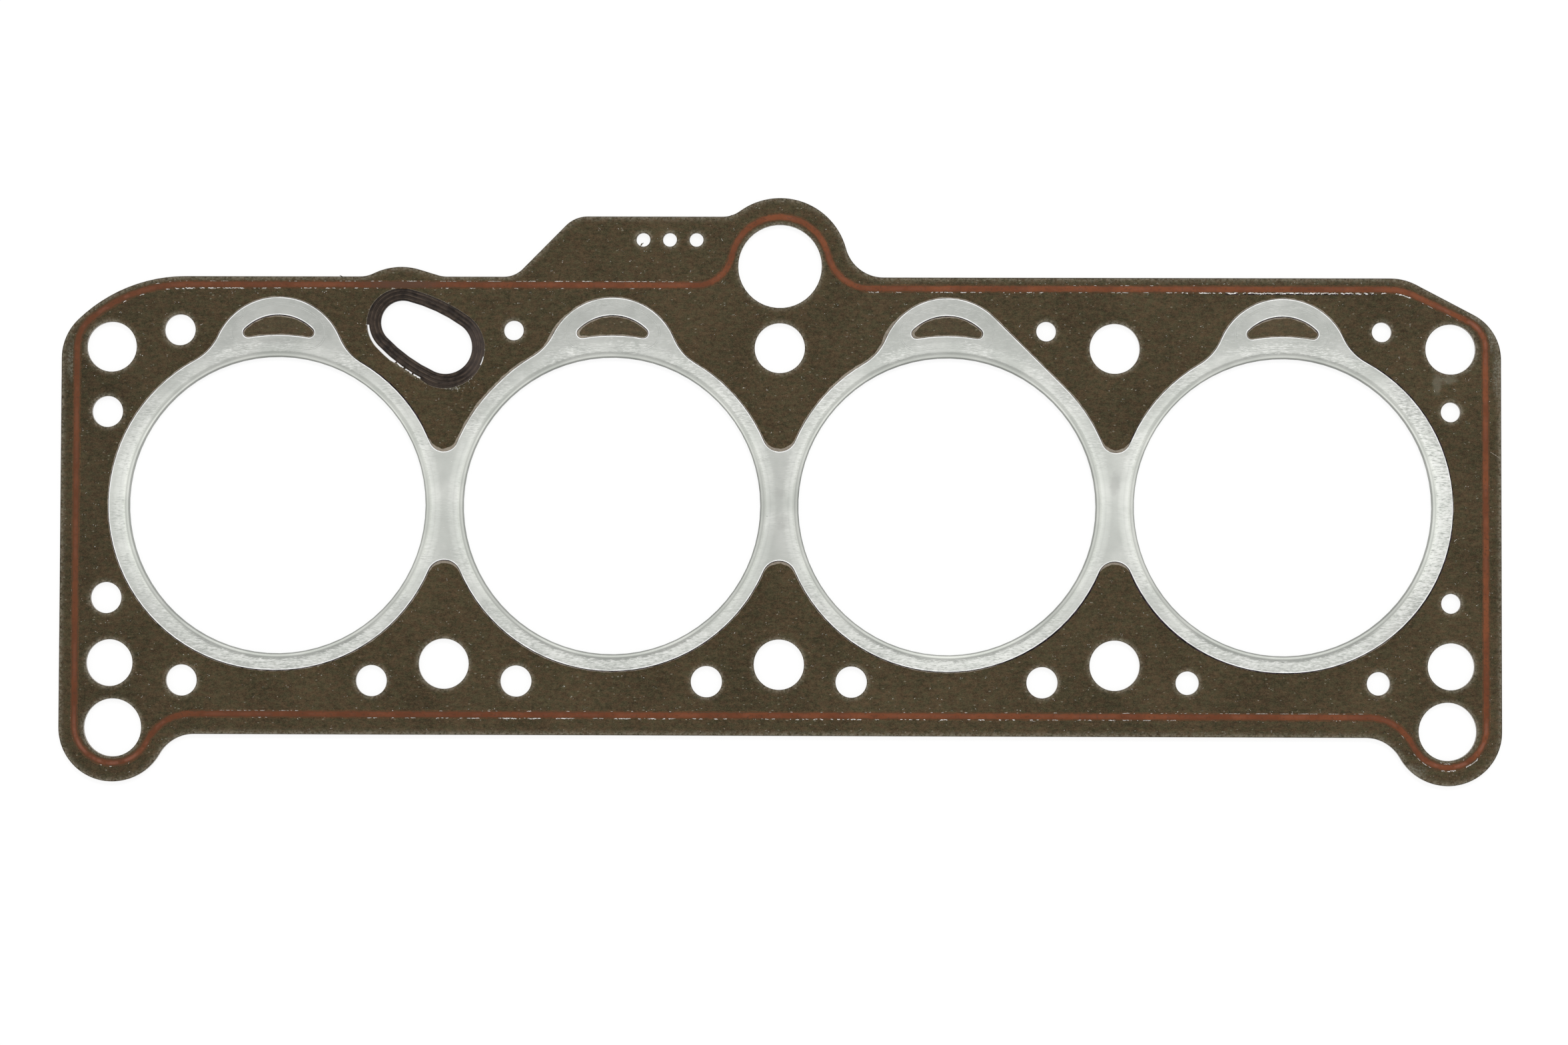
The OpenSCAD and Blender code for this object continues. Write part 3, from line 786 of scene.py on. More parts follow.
def fibre_mottle():
    """Leathery mottling of a calendered fibre sheet and its coat."""
    tree, given, result = new_group(
        "Fibre Mottle",
        {"Position": ("Vector", None), "Grain": ("Float", 1.0)},
        {"Tone": "Float", "Warmth": "Float", "Height": "Float"},
    )
    scaled = {0: given["Position"], "Scale": given["Grain"]}
    where = put(tree, "ShaderNodeVectorMath", scaled, operation="SCALE").outputs[0]
    patches = cloud(tree, where, 0.05, 3)
    streaks = cloud(tree, stretched(tree, where, 0.45, 1.5), 0.7, 3, 0.6)
    blotches = cloud(tree, where, 0.9, 2, 0.6)
    fibres = cloud(tree, stretched(tree, where, 0.75, 1.15), 2.3, 2, 0.6)
    grains = cloud(tree, stretched(tree, where, 0.9, 1.1), 4.6, 1, 0.5)
    tone = times(tree, patches, 0.14)
    for part, weight in ((streaks, 0.16), (blotches, 0.14), (fibres, 0.26), (grains, 0.30)):
        tone = plus(tree, tone, times(tree, part, weight))
    warmth = cloud(tree, stretched(tree, where, 0.6, 1.1), 0.9, 3, 0.7)
    found = {
        "Tone": spread(tree, tone, 0.41, 0.59, smooth=False),
        "Warmth": spread(tree, warmth, 0.36, 0.64),
        "Height": plus(tree, times(tree, streaks, 0.6), grains),
    }
    feed(tree, result, found)
    return tree


def pale_specks():
    """Sparse short flecks, such as fibre ends and dust."""
    tree, given, result = new_group(
        "Pale Specks",
        {
            "Position": ("Vector", None),
            "Spacing": ("Float", 2.0),
            "Size": ("Float", 0.12),
            "Share": ("Float", 0.3),
        },
        {"Mask": "Float"},
    )
    per_metre = calc(tree, "DIVIDE", 1 / MM, given["Spacing"])
    lattice = {"Vector": stretched(tree, given["Position"], 1, 2.2), "Scale": per_metre}
    cells = put(tree, "ShaderNodeTexVoronoi", lattice, feature="F1").outputs
    tint = put(tree, "ShaderNodeSeparateColor", {"Color": cells["Color"]}).outputs
    chosen = calc(tree, "LESS_THAN", tint[0], given["Share"])
    size = times(tree, given["Size"], plus(tree, tint[1], 0.35))
    dot = spread(
        tree, cells["Distance"], times(tree, size, 0.5), size, 1.0, 0.0, smooth=False
    )
    feed(tree, result, {"Mask": times(tree, dot, chosen)})
    return tree


def bore_distance():
    """Distance from the nearest bore's axis, in mm, and where along the row it is."""
    tree, given, result = new_group(
        "Bore Distance",
        {"Position": ("Vector", None)},
        {"Radius": "Float", "Across": "Float", "Along": "Float"},
    )
    parts = axes(tree, given["Position"])
    along = calc(tree, "DIVIDE", parts["X"], MM)
    across = calc(tree, "DIVIDE", parts["Y"], MM)
    folded = calc(tree, "ABSOLUTE", along)
    folded = calc(tree, "ABSOLUTE", calc(tree, "SUBTRACT", folded, BORE_PITCH))
    from_axis = calc(tree, "SUBTRACT", folded, BORE_PITCH / 2)
    squares = plus(tree, times(tree, from_axis, from_axis), times(tree, across, across))
    radius = calc(tree, "SQRT", squares)
    feed(tree, result, {"Radius": radius, "Across": across, "Along": along})
    return tree


def brush_marks():
    """Short scratches along the rolling direction of a sheet, light and dark."""
    tree, given, result = new_group(
        "Brush Marks",
        {"Position": ("Vector", None), "Length": ("Float", 2.0)},
        {"Light": "Float", "Dark": "Float", "Height": "Float"},
    )
    per_mm = calc(tree, "DIVIDE", 1.0, given["Length"])
    parts = axes(tree, given["Position"])
    along, across = times(tree, parts["X"], per_mm), times(tree, parts["Y"], 3.1)
    inputs = {0: along, 1: across, 2: parts["Z"]}
    squeezed = put(tree, "ShaderNodeCombineXYZ", inputs).outputs[0]
    marks = cloud(tree, squeezed, 0.9, 3, 0.6)
    fine = cloud(tree, stretched(tree, squeezed, 1.6, 2.2), 1.0, 2, 0.5)
    both = plus(tree, times(tree, marks, 0.45), times(tree, fine, 0.55))
    light, dark = spread(tree, both, 0.52, 0.585), spread(tree, both, 0.475, 0.41)
    feed(tree, result, {"Light": light, "Dark": dark, "Height": both})
    return tree


def spot_masks():
    """A broad soft spot and a patch with a ragged edge at one place, both 1 in their middle."""
    tree, given, result = new_group(
        "Spot",
        {"Position": ("Vector", None), "Place": ("Vector", None), "Reach": ("Vector", None)},
        {"Soft": "Float", "Ragged": "Float"},
    )
    gap = {0: given["Position"], 1: given["Place"]}
    off = put(tree, "ShaderNodeVectorMath", gap, operation="SUBTRACT").outputs[0]
    in_reaches = {0: off, 1: given["Reach"]}
    scaled = put(tree, "ShaderNodeVectorMath", in_reaches, operation="DIVIDE").outputs[0]
    flat = {0: stretched(tree, scaled, 1, 1, 0)}
    away = put(tree, "ShaderNodeVectorMath", flat, operation="LENGTH").outputs["Value"]
    edge = plus(tree, away, times(tree, cloud(tree, given["Position"], 0.9, 2), 0.9))
    soft, ragged = spread(tree, away, 1.2, 0.4), spread(tree, edge, 1.45, 0.75)
    feed(tree, result, {"Soft": soft, "Ragged": ragged})
    return tree


MOTTLE = fibre_mottle()
SPECKS = pale_specks()
SPOT = spot_masks()
BORE = bore_distance()
BRUSH = brush_marks()


def specks(tree, where, spacing, size, share=0.3):
    """Where the specks of a size, a spacing apart, are."""
    inputs = {"Position": where, "Spacing": spacing, "Size": size, "Share": share}
    return use(tree, SPECKS, inputs)["Mask"]


def spot(tree, where, x, y, reach_x, reach_y):
    """The masks of a spot at a place, with its reach along and across the row."""
    place, reach = (x * MM, y * MM, 0), (reach_x * MM, reach_y * MM, 1)
    return use(tree, SPOT, {"Position": where, "Place": place, "Reach": reach})


# Colours of the finishes; a pair runs from the dark tone to the light one

OLIVE_COAT = ((0.024, 0.0205, 0.0075), (0.086, 0.070, 0.034))
BROWN_COAT = ((0.032, 0.0200, 0.0080), (0.103, 0.068, 0.034))
DIM = (0.0, 0.0, 0.0)
PALE_COAT = (0.24, 0.19, 0.13)
FIBRE_END = (0.26, 0.24, 0.18)
PRESSED_RIM_HIGHLIGHT = (0.27, 0.24, 0.18)
CUT_LIP = (0.020, 0.017, 0.013)
SMUDGED_COAT = (0.26, 0.25, 0.19)
SCUFFED_COAT = (0.25, 0.245, 0.20)
BARE_FIBRE = ((0.19, 0.162, 0.130), (0.35, 0.305, 0.245))
CORE_SHEET = ((0.26, 0.25, 0.22), (0.68, 0.67, 0.62))
TIN = ((0.525, 0.54, 0.505), (0.60, 0.61, 0.575))
BRUSHED_TIN = ((0.34, 0.35, 0.33), (0.92, 0.92, 0.89))
TIN_DENT = (0.16, 0.16, 0.15)
TIN_GLINT = (0.93, 0.93, 0.90)
SMUDGED_TIN = (0.36, 0.36, 0.34)
PRESSED_TIN = ((0.40, 0.41, 0.385), (0.55, 0.56, 0.53))
BURNISHED_HIGHLIGHT_TIN = ((0.70, 0.71, 0.68), (0.98, 0.98, 0.97))
SEAM_DIRT_AND_SHADOW = ((0.006, 0.005, 0.008), (0.040, 0.026, 0.038))
SILICONE = ((0.140, 0.042, 0.015), (0.196, 0.059, 0.021))
END_SILICONE = (0.096, 0.036, 0.015)
PLAIN_SIDE_SILICONE = (0.105, 0.026, 0.007)
BLOTCHED_SILICONE = (0.075, 0.032, 0.014)
SPECKED_SILICONE = (0.045, 0.022, 0.012)
EDGE_DIRT_AND_SHADE_SILICONE = (0.070, 0.044, 0.022)
PAINTED_SILICONE_SHEEN = (0.30, 0.125, 0.085)
STAINED_SILICONE = (0.075, 0.042, 0.026)
BLED_COAT = ((0.052, 0.028, 0.010), (0.135, 0.066, 0.030))
RUBBER_TONES = ((0.009, 0.006, 0.0045), (0.056, 0.040, 0.030))
PAINTED_RUBBER_SHEEN = (0.115, 0.090, 0.080)
CREST_HIGHLIGHT_RUBBER = (0.105, 0.075, 0.054)
DUSTY_RUBBER = (0.25, 0.22, 0.19)
FLASH_TONES = ((0.50, 0.48, 0.44), (0.95, 0.94, 0.92))
TANG_TONES = ((0.13, 0.125, 0.105), (0.66, 0.65, 0.60))
DUST_TONES = ((0.12, 0.115, 0.095), (0.60, 0.60, 0.55))
WHITE = (1.0, 1.0, 1.0)

# Painted highlights and shade that the fold, the groove and the crown of each ring
# would catch: how bright the armour is from the bore edge outward, as (radius, level):
# on the flanks, along the bottom of each ring, on its upper shoulders, and along its top
FLANK_LIGHT_BANDS = (
    (39.0, 0.62),
    (39.22, 0.66),
    (39.42, 1.10),
    (39.75, 1.01),
    (40.0, 0.95),
    (40.3, 1.19),
    (40.9, 1.25),
    (41.3, 1.20),
    (41.7, 1.10),
    (42.0, 1.15),
    (42.7, 1.10),
    (43.4, 0.98),
    (44.6, 0.97),
)
BOTTOM_LIGHT_BANDS = (
    (39.0, 0.66),
    (39.22, 0.72),
    (39.42, 1.42),
    (39.7, 1.26),
    (39.92, 0.90),
    (40.15, 0.80),
    (40.45, 0.76),
    (40.75, 1.16),
    (41.3, 1.30),
    (41.9, 1.32),
    (42.4, 1.26),
    (42.8, 1.10),
    (44.6, 1.04),
)
SHOULDER_LIGHT_BANDS = (
    (39.0, 0.66),
    (39.22, 0.76),
    (39.42, 1.38),
    (39.62, 1.22),
    (39.8, 1.00),
    (40.05, 0.94),
    (40.3, 1.10),
    (40.8, 1.22),
    (41.3, 1.18),
    (41.7, 1.09),
    (42.7, 1.08),
    (43.4, 0.98),
    (44.6, 0.97),
)
TOP_LIGHT_BANDS = (
    (39.0, 0.62),
    (39.22, 0.66),
    (39.42, 1.16),
    (39.75, 1.10),
    (40.0, 0.84),
    (40.4, 0.92),
    (40.9, 1.08),
    (41.8, 1.13),
    (42.7, 1.08),
    (43.4, 0.98),
    (44.6, 0.95),
)
# Heights across the part over which one set of bands goes over into the next
BOTTOM_FROM = (-27.0, -36.0)
SHOULDER_FROM = (12.0, 22.0)
TOP_FROM = (30.0, 38.0)


# Materials


def coat_material(name, pale=0.0):
    """Dark olive brown coat, mottled, with a few paler smudges, and rims at its cut edges paler
    with a painted highlight.
    """
    material, tree, shader = new_material(name, Roughness=0.68, Specular_IOR_Level=0.16)
    where = place_of(tree)
    mottle = use(tree, MOTTLE, {"Position": where})
    olive = blend(tree, mottle["Tone"], *OLIVE_COAT)
    brown = blend(tree, mottle["Tone"], *BROWN_COAT)
    colour = blend(tree, mottle["Warmth"], olive, brown)
    left_end = spread(tree, axes(tree, where)["X"], -0.150, -0.182, 0.0, 0.13)
    colour = blend(tree, left_end, colour, DIM)
    if pale:
        colour = blend(tree, pale, colour, PALE_COAT)
    colour = laid(tree, colour, specks(tree, where, 1.9, 0.17, 0.42), 0.58, FIBRE_END)
    edge = put(tree, "ShaderNodeAttribute", attribute_name="rim").outputs["Fac"]
    # Painted highlight: the rim at each cut edge paler where the edge rounds over
    ragged = spread(tree, cloud(tree, where, 1.6, 3, 0.7), 0.36, 0.64, 0.10, 1.60)
    rim = times(tree, calc(tree, "POWER", edge, 2.2), ragged)
    colour = laid(tree, colour, rim, 0.54, PRESSED_RIM_HIGHLIGHT, clamp=True)
    colour = laid(tree, colour, spread(tree, edge, 0.86, 0.97), 0.72, CUT_LIP)
    for smudge in COAT_SMUDGES:
        colour = laid(tree, colour, spot(tree, where, *smudge)["Ragged"], 0.27, SMUDGED_COAT)
    scraped = spread(tree, cloud(tree, where, 1.9, 3, 0.7), 0.44, 0.60, 0.05, 0.42)
    for scuff in COAT_SCUFFS:
        colour = laid(tree, colour, spot(tree, where, *scuff)["Soft"], scraped, SCUFFED_COAT)
    normal = bump(tree, mottle["Height"], 0.03, 0.8)
    feed(tree, shader, {"Base Color": colour, "Normal": normal})
    return material


def bare_fibre_material():
    """Uncoated fibre: grey beige, seen at the hems of the coat and at cut edges."""
    material, tree, shader = new_material("bare_fibre", Roughness=0.8, Specular_IOR_Level=0.15)
    mottle = use(tree, MOTTLE, {"Position": place_of(tree), "Grain": 1.6})
    colour = blend(tree, mottle["Tone"], *BARE_FIBRE)
    normal = bump(tree, mottle["Height"], 0.03, 0.7)
    feed(tree, shader, {"Base Color": colour, "Normal": normal})
    return material


def core_material():
    """Cold rolled steel of the core."""
    material, tree, shader = new_material("core_sheet", Metallic=0.55, Roughness=0.45)
    colour = blend(tree, cloud(tree, place_of(tree), 1.4, 2), *CORE_SHEET)
    feed(tree, shader, {"Base Color": colour})
    return material


def painted_ring_light(tree, radius, bands):
    """Painted highlights and shade: the bands of light that the fold, the groove and the crown of
    each ring would catch.
    """
    low, high = bands[0][0], bands[-1][0]
    share = spread(tree, radius, low, high, smooth=False)
    stops = [((at - low) / (high - low), level / 2) for at, level in bands]
    return times(tree, ramp(tree, share, stops), 2)


def armour_level(tree, where, bore):
    """How bright the armour is: its painted bands of light and shade, a painted reflection that is
    lighter on the flanks and darker on the ears, and the parts with a tone of their own.
    """
    level = painted_ring_light(tree, bore["Radius"], FLANK_LIGHT_BANDS)
    for heights, bands in (
        (BOTTOM_FROM, BOTTOM_LIGHT_BANDS),
        (SHOULDER_FROM, SHOULDER_LIGHT_BANDS),
        (TOP_FROM, TOP_LIGHT_BANDS),
    ):
        share = spread(tree, bore["Across"], *heights)
        level = lerp(tree, share, level, painted_ring_light(tree, bore["Radius"], bands))
    # Painted reflection: each ring's flanks lighter than its top and bottom, its ears darker
    sides = spread(tree, calc(tree, "ABSOLUTE", bore["Across"]), 36.0, 8.0, 0.94, 1.10)
    ear_shade = spread(tree, bore["Across"], 40.0, 47.0, 1.0, 0.93)
    level = times(tree, level, times(tree, sides, ear_shade))
    for *place, gain in ARMOUR_TONES:
        swell = times(tree, spot(tree, where, *place)["Soft"], gain)
        level = times(tree, level, plus(tree, swell, 1.0))
    return level


def armour_rubbing_and_sheen(tree, where, bore):
    """Where the brush marks show, rubbed and partly painted sheen: on the crown of its rings, least
    at the webs, most at its end.
    """
    last = spread(tree, bore["Along"], BORE_XS[3] + 24, BORE_XS[3] + 32)
    outer = spread(tree, bore["Radius"], 44.2, 42.8, 0.30, 1.0)
    fold = spread(tree, bore["Radius"], 39.9, 40.7)
    crown = times(tree, fold, calc(tree, "MAXIMUM", outer, last))
    rubbed_and_sheen = spread(tree, cloud(tree, where, 0.11, 2), 0.36, 0.62, 0.15, 0.62)
    for x in WEB_XS:
        web = times(tree, spot(tree, where, x, 0.0, 7.0, 24.0)["Soft"], 0.65)
        rubbed_and_sheen = times(tree, rubbed_and_sheen, calc(tree, "SUBTRACT", 1.0, web))
    bottom = times(tree, spread(tree, bore["Across"], *BOTTOM_FROM), 0.85)
    rubbed_and_sheen = calc(tree, "MAXIMUM", calc(tree, "MAXIMUM", rubbed_and_sheen, bottom), last)
    return times(tree, crown, rubbed_and_sheen)


def armour_material():
    """Tin coated steel: satin, brushed along the row, with smudges and dents, painted bands of
    light and shade at the fold, painted glints, and brush marks that are partly painted sheen.
    """
    material, tree, shader = new_material("armour_sheet", Metallic=0.8)
    where = place_of(tree)
    bore = use(tree, BORE, {"Position": where})
    brush = use(tree, BRUSH, {"Position": where, "Length": 1.5})
    clouds = spread(tree, cloud(tree, where, 0.09, 3, 0.55), 0.36, 0.64)
    level = armour_level(tree, where, bore)
    greys = {"Red": level, "Green": level, "Blue": level}
    grey = put(tree, "ShaderNodeCombineColor", greys).outputs[0]
    colour = blend(tree, 1.0, blend(tree, clouds, *TIN), grey, "MULTIPLY")
    rubbed_and_sheen = armour_rubbing_and_sheen(tree, where, bore)
    # Brush marks: real scratches, their light streaks partly painted sheen
    dark, light = BRUSHED_TIN
    colour = laid(tree, colour, times(tree, brush["Light"], rubbed_and_sheen), 0.85, light)
    colour = laid(tree, colour, times(tree, brush["Dark"], rubbed_and_sheen), 0.70, dark)
    colour = laid(tree, colour, specks(tree, where, 5.5, 0.04, 0.45), 0.75, TIN_DENT)
    glints = specks(tree, stretched(tree, where, 1, 1.3), 2.4, 0.07, 0.35)
    colour = laid(tree, colour, glints, 0.7, TIN_GLINT)
    for smudge in ARMOUR_SMUDGES:
        colour = laid(tree, colour, spot(tree, where, *smudge)["Ragged"], 0.30, SMUDGED_TIN)
    rough = spread(tree, cloud(tree, where, 0.3, 2), 0.3, 0.7, 0.38, 0.50)
    groove = spread(tree, bore["Radius"], 41.0, 40.6, 0.0, 0.72)
    rough = calc(tree, "MAXIMUM", rough, groove)
    normal = bump(tree, cloud(tree, where, 0.16, 1), 0.05, 0.3)
    normal = bump(tree, brush["Height"], 0.010, 0.4, normal)
    feed(tree, shader, {"Base Color": colour, "Roughness": rough, "Normal": normal})
    return material


def pressed_line_material():
    """The faint lines pressed into each ear, a little greyer than the sheet."""
    material, tree, shader = new_material("pressed_line", Metallic=0.5, Roughness=0.6)
    tone = spread(tree, cloud(tree, place_of(tree), 0.35, 3, 0.6), 0.4, 0.6)
    feed(tree, shader, {"Base Color": blend(tree, tone, *PRESSED_TIN)})
    return material


def rolled_edge_material():
    """The bright rolled edge of the armour sheet: burnished, and near white as a painted highlight.
    """
    material, tree, shader = new_material("burnished_edge_highlight", Metallic=0.15)
    tone = cloud(tree, place_of(tree), 0.35, 3, 0.6)
    colour = blend(tree, spread(tree, tone, 0.32, 0.55), *BURNISHED_HIGHLIGHT_TIN)
    rough = spread(tree, tone, 0.3, 0.7, 0.42, 0.30)
    feed(tree, shader, {"Base Color": colour, "Roughness": rough})
    return material


def seam_material():
    """Dirt and painted shadow in the seam beside the armour."""
    material, tree, shader = new_material("seam_dirt_and_shadow", Roughness=0.85, Specular_IOR_Level=0.05)
    tone = spread(tree, cloud(tree, place_of(tree), 1.1, 2), 0.40, 0.65)
    feed(tree, shader, {"Base Color": blend(tree, tone, *SEAM_DIRT_AND_SHADOW)})
    return material


def bead_rise(tree, where):
    """How far up the crown of a bead a point is: 0 at its edges, 1 along its middle."""
    level = calc(tree, "DIVIDE", axes(tree, where)["Z"], MM)
    middle = (FACE_TOP + FACE_BOTTOM) / 2
    away = calc(tree, "ABSOLUTE", calc(tree, "SUBTRACT", level, middle))
    above = calc(tree, "SUBTRACT", away, FACE_TOP - middle)
    return calc(tree, "DIVIDE", above, BEAD_TOP - FACE_TOP)


def bead_material():
    """Red brown silicone, mottled along its length, browner beside the oil passage, darker towards
    its edges with a dirty margin and painted shade, and with a painted sheen along its crown.
    """
    material, tree, shader = new_material("bead_silicone", Roughness=0.6, Specular_IOR_Level=0.18)
    where = place_of(tree)
    fine = cloud(tree, where, 1.3, 2)
    tone = spread(tree, cloud(tree, where, 0.16, 3, 0.6), 0.35, 0.65)
    colour = blend(tree, tone, *SILICONE)
    left_end = spread(tree, axes(tree, where)["X"], -0.19, 0.05, 0.55, 0.0)
    colour = blend(tree, left_end, colour, END_SILICONE)
    plain_side = spread(tree, axes(tree, where)["Y"], -0.030, -0.055, 0.0, 0.22)
    colour = blend(tree, plain_side, colour, PLAIN_SIDE_SILICONE)
    colour = blend(tree, spread(tree, fine, 0.52, 0.72, 0, 0.55), colour, BLOTCHED_SILICONE)
    colour = laid(tree, colour, specks(tree, where, 2.2, 0.16, 0.35), 0.6, SPECKED_SILICONE)
    worn = 0.0
    for place in BEAD_WORN:
        worn = calc(tree, "MAXIMUM", worn, spot(tree, where, *place)["Soft"])
    rise = bead_rise(tree, where)
    # Darker towards both edges: a dirty margin and painted shade where the crown falls away
    ragged = spread(tree, cloud(tree, where, 0.9, 2), 0.3, 0.7, -0.07, 0.07)
    low_rise = calc(tree, "SUBTRACT", rise, times(tree, worn, 0.05))
    sides = spread(tree, plus(tree, low_rise, ragged), 0.73, 0.53, 0.0, 0.84)
    colour = blend(tree, sides, colour, EDGE_DIRT_AND_SHADE_SILICONE)
    # Painted sheen along the crown, strongest where the bead is worn
    sheen_patches = spread(tree, cloud(tree, where, 0.22, 3, 0.6), 0.44, 0.62, 0.0, 1.0)
    sheen = times(tree, spread(tree, rise, 0.78, 0.97), sheen_patches)
    colour = laid(tree, colour, sheen, spread(tree, worn, 0.0, 1.0, 0.13, 0.48), PAINTED_SILICONE_SHEEN)
    colour = laid(tree, colour, spot(tree, where, *BEAD_STAIN)["Ragged"], 0.7, STAINED_SILICONE)
    feed(tree, shader, {"Base Color": colour, "Normal": bump(tree, fine, 0.02, 0.5)})
    return material


def bleed_material():
    """Coat stained by the bead printed beside it."""
    material, tree, shader = new_material("bead_bleed", Roughness=0.7, Specular_IOR_Level=0.14)
    mottle = use(tree, MOTTLE, {"Position": place_of(tree)})
    feed(tree, shader, {"Base Color": blend(tree, mottle["Tone"], *BLED_COAT)})
    return material


def flake_material(name, tones, roughness):
    """Chips that catch the light, some dull and some bright."""
    material, tree, shader = new_material(name, Roughness=roughness, Specular_IOR_Level=0.6)
    tone = spread(tree, cloud(tree, place_of(tree), 1.1, 2, 0.7), 0.40, 0.60)
    feed(tree, shader, {"Base Color": blend(tree, tone, *tones)})
    return material


def seal_material():
    """Dark brown black rubber with some dust, browner along its ridges and at its outer end with
    painted highlights and sheen.
    """
    material, tree, shader = new_material("seal_rubber", Roughness=0.5, Specular_IOR_Level=0.16)
    where = place_of(tree)
    tone = cloud(tree, where, 0.5, 3, 0.6)
    lines = cloud(tree, stretched(tree, where, 0.22, 0.22, 26.0), 0.7, 2, 0.6)
    mixed = plus(tree, times(tree, tone, 0.4), times(tree, lines, 0.6))
    colour = blend(tree, spread(tree, mixed, 0.36, 0.66), *RUBBER_TONES)
    colour = laid(tree, colour, spot(tree, where, *SEAL_SHEEN)["Soft"], 0.30, PAINTED_RUBBER_SHEEN)
    # Painted highlights: browner along the crests of the ridges
    level = calc(tree, "DIVIDE", axes(tree, where)["Z"], MM)
    crest_highlight = spread(tree, level, SEAL_TOP - 0.07, SEAL_TOP)
    crest_highlight = times(tree, crest_highlight, spread(tree, tone, 0.35, 0.65, 0.05, 0.95))
    colour = blend(tree, crest_highlight, colour, CREST_HIGHLIGHT_RUBBER)
    colour = laid(tree, colour, specks(tree, where, 1.5, 0.08), 0.5, DUSTY_RUBBER)
    feed(tree, shader, {"Base Color": colour, "Normal": bump(tree, tone, 0.03, 0.5)})
    return material


COAT = coat_material("dark_coat")
WINDOW_COAT = coat_material("window_coat", 0.085)
FIBRE = bare_fibre_material()
ARMOUR = armour_material()
EDGE_STEEL = rolled_edge_material()
PRESSED = pressed_line_material()
SEAM = seam_material()
BEAD = bead_material()
BLEED = bleed_material()
RUBBER = seal_material()
FLASH = flake_material("bright_flakes", FLASH_TONES, 0.35)
TANG = flake_material("tang_tips", TANG_TONES, 0.45)
DUST = flake_material("pale_dust", DUST_TONES, 0.6)

for node_name, material in (
    ("tanged_core", core_material()),
    ("upper_facing", FIBRE),
    ("lower_facing", FIBRE),
    ("bore_armour", ARMOUR),
    ("upper_sealing_bead", BEAD),
    ("lower_sealing_bead", BEAD),
    ("oil_passage_seal", RUBBER),
):
    mesh = frame["nodes"][node_name].data
    mesh.materials.clear()
    mesh.materials.append(material)


# Outlines of the part that the added pieces follow

bore_area = math.pi * BORE_R**2
facing_loops = loops_at("upper_facing", FACE_TOP)
armour_loops = loops_at("bore_armour", ARMOUR_TOP)
flange_loops = loops_at("bore_armour", ARMOUR_BOTTOM)
bead_edges = loops_at("upper_sealing_bead", FACE_TOP)[:2]
lower_bead_edges = loops_at("lower_sealing_bead", FACE_BOTTOM)[:2]


def smaller(loops, share):
    """The outlines that go round less than a share of a bore."""
    return [loop for loop in loops if abs(signed_area(loop)) < bore_area * share]


outer_edge = facing_loops[0]
small_holes = smaller(facing_loops[1:], HOLE_SHARE)
armour_edge = np.array([notched(x, y) for x, y in armour_loops[0]])
windows = smaller(armour_loops[1:], WINDOW_SHARE)
flange_edges = [loop for loop in flange_loops if abs(signed_area(loop)) > math.pi * FLANGE_R**2]
COAT_TOP = FACE_TOP + COAT_T
COAT_BOTTOM = FACE_BOTTOM - COAT_T


# Pieces


def notched_armour():
    """The armour with its two deep notches, which stands for the frame's."""
    mesh = frame["nodes"]["bore_armour"].data.copy()
    for vertex in mesh.vertices:
        x, y = notched(vertex.co.x / MM, vertex.co.y / MM)
        vertex.co.x, vertex.co.y = x * MM, y * MM
    obj = placed("notched_armour", mesh)
    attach(obj, "root")
    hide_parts("bore_armour")


def trimmed(loop, seed, way):
    """The coat's rim at a cut edge: its ragged edge just inside the sheet, and where it ends."""
    points = even_points(loop, COAT_STEP)
    rag = COAT_RAG * ripple(points, COAT_GRAIN, seed)
    reach = RIM_W if way > 0 else OUTER_RIM_W
    return pushed(points, way * (COAT_EDGE + rag)), pushed(points, way * (COAT_EDGE + reach))


def places_hem(points, width):
    """A hem's width, drawn towards the stretches that have a width of their own."""
    bottoms = [
        (side * BORE_PITCH, up * NOTCH_Y, NOTCH_REACH, NOTCH_HEM)
        for side in (-1, 0, 1)
        for up in (-1, 1)
    ]
    for x, y, reach, own in (*HEM_PLACES, *bottoms):
        away = np.hypot(points[:, 0] - x, points[:, 1] - y) / reach
        share = np.clip(HEM_FADE - away, 0, 1)
        width = width * (1 - share) + own * share
    return width


def plain_hem(points, seed):
    """The hem's width before it is made ragged."""
    return places_hem(points, HEM + HEM_SWAY * ripple(points, HEM_SWAY_LENGTH, seed + 9))


def hem(loop, seed, way, top=0.0):
    """The ragged hem of the coat beside the armour, wide in some places and narrow in others."""
    points = even_points(loop, COAT_STEP)
    width = plain_hem(points, seed)
    upper = np.clip(outward(points)[:, 1], 0, 1)
    width += top * upper * (1 + ripple(points, WINDOW_GRAIN, seed))
    rag = ripple(points, HEM_GRAIN, seed) + 0.5 * ripple(points, HEM_GRAIN / 3, seed + 5)
    width += HEM_RAG * rag * np.clip(width / HEM, *HEM_RAG_GAIN)
    return pushed(points, way * np.maximum(width, HEM_LEAST))


def coat(name, armour_hems, face, way):
    """The coat on one face: a pressed rim at every cut edge, and a sheet between them."""
    cuts = [trimmed(outer_edge, seed=3, way=-1)]
    cuts += [trimmed(loop, seed=11 + i, way=1) for i, loop in enumerate(small_holes)]
    top = face + way * COAT_T
    rims = strips(cuts, top - way * RIM_DROP, rise=way * RIM_DROP, up=way > 0)
    pale = []
    for i, (edge, end) in enumerate(cuts):
        pale += [SEAL_RIM if i == 1 else 1.0] * len(edge) + [0.0] * len(end)
    mark_rim(rims, pale)
    piece(f"{name}_rims", rims, COAT)
    loops = [end for _, end in cuts] + armour_hems
    piece(name, filled_sheet(loops, face + way * COAT_T / 2, COAT_T), COAT)


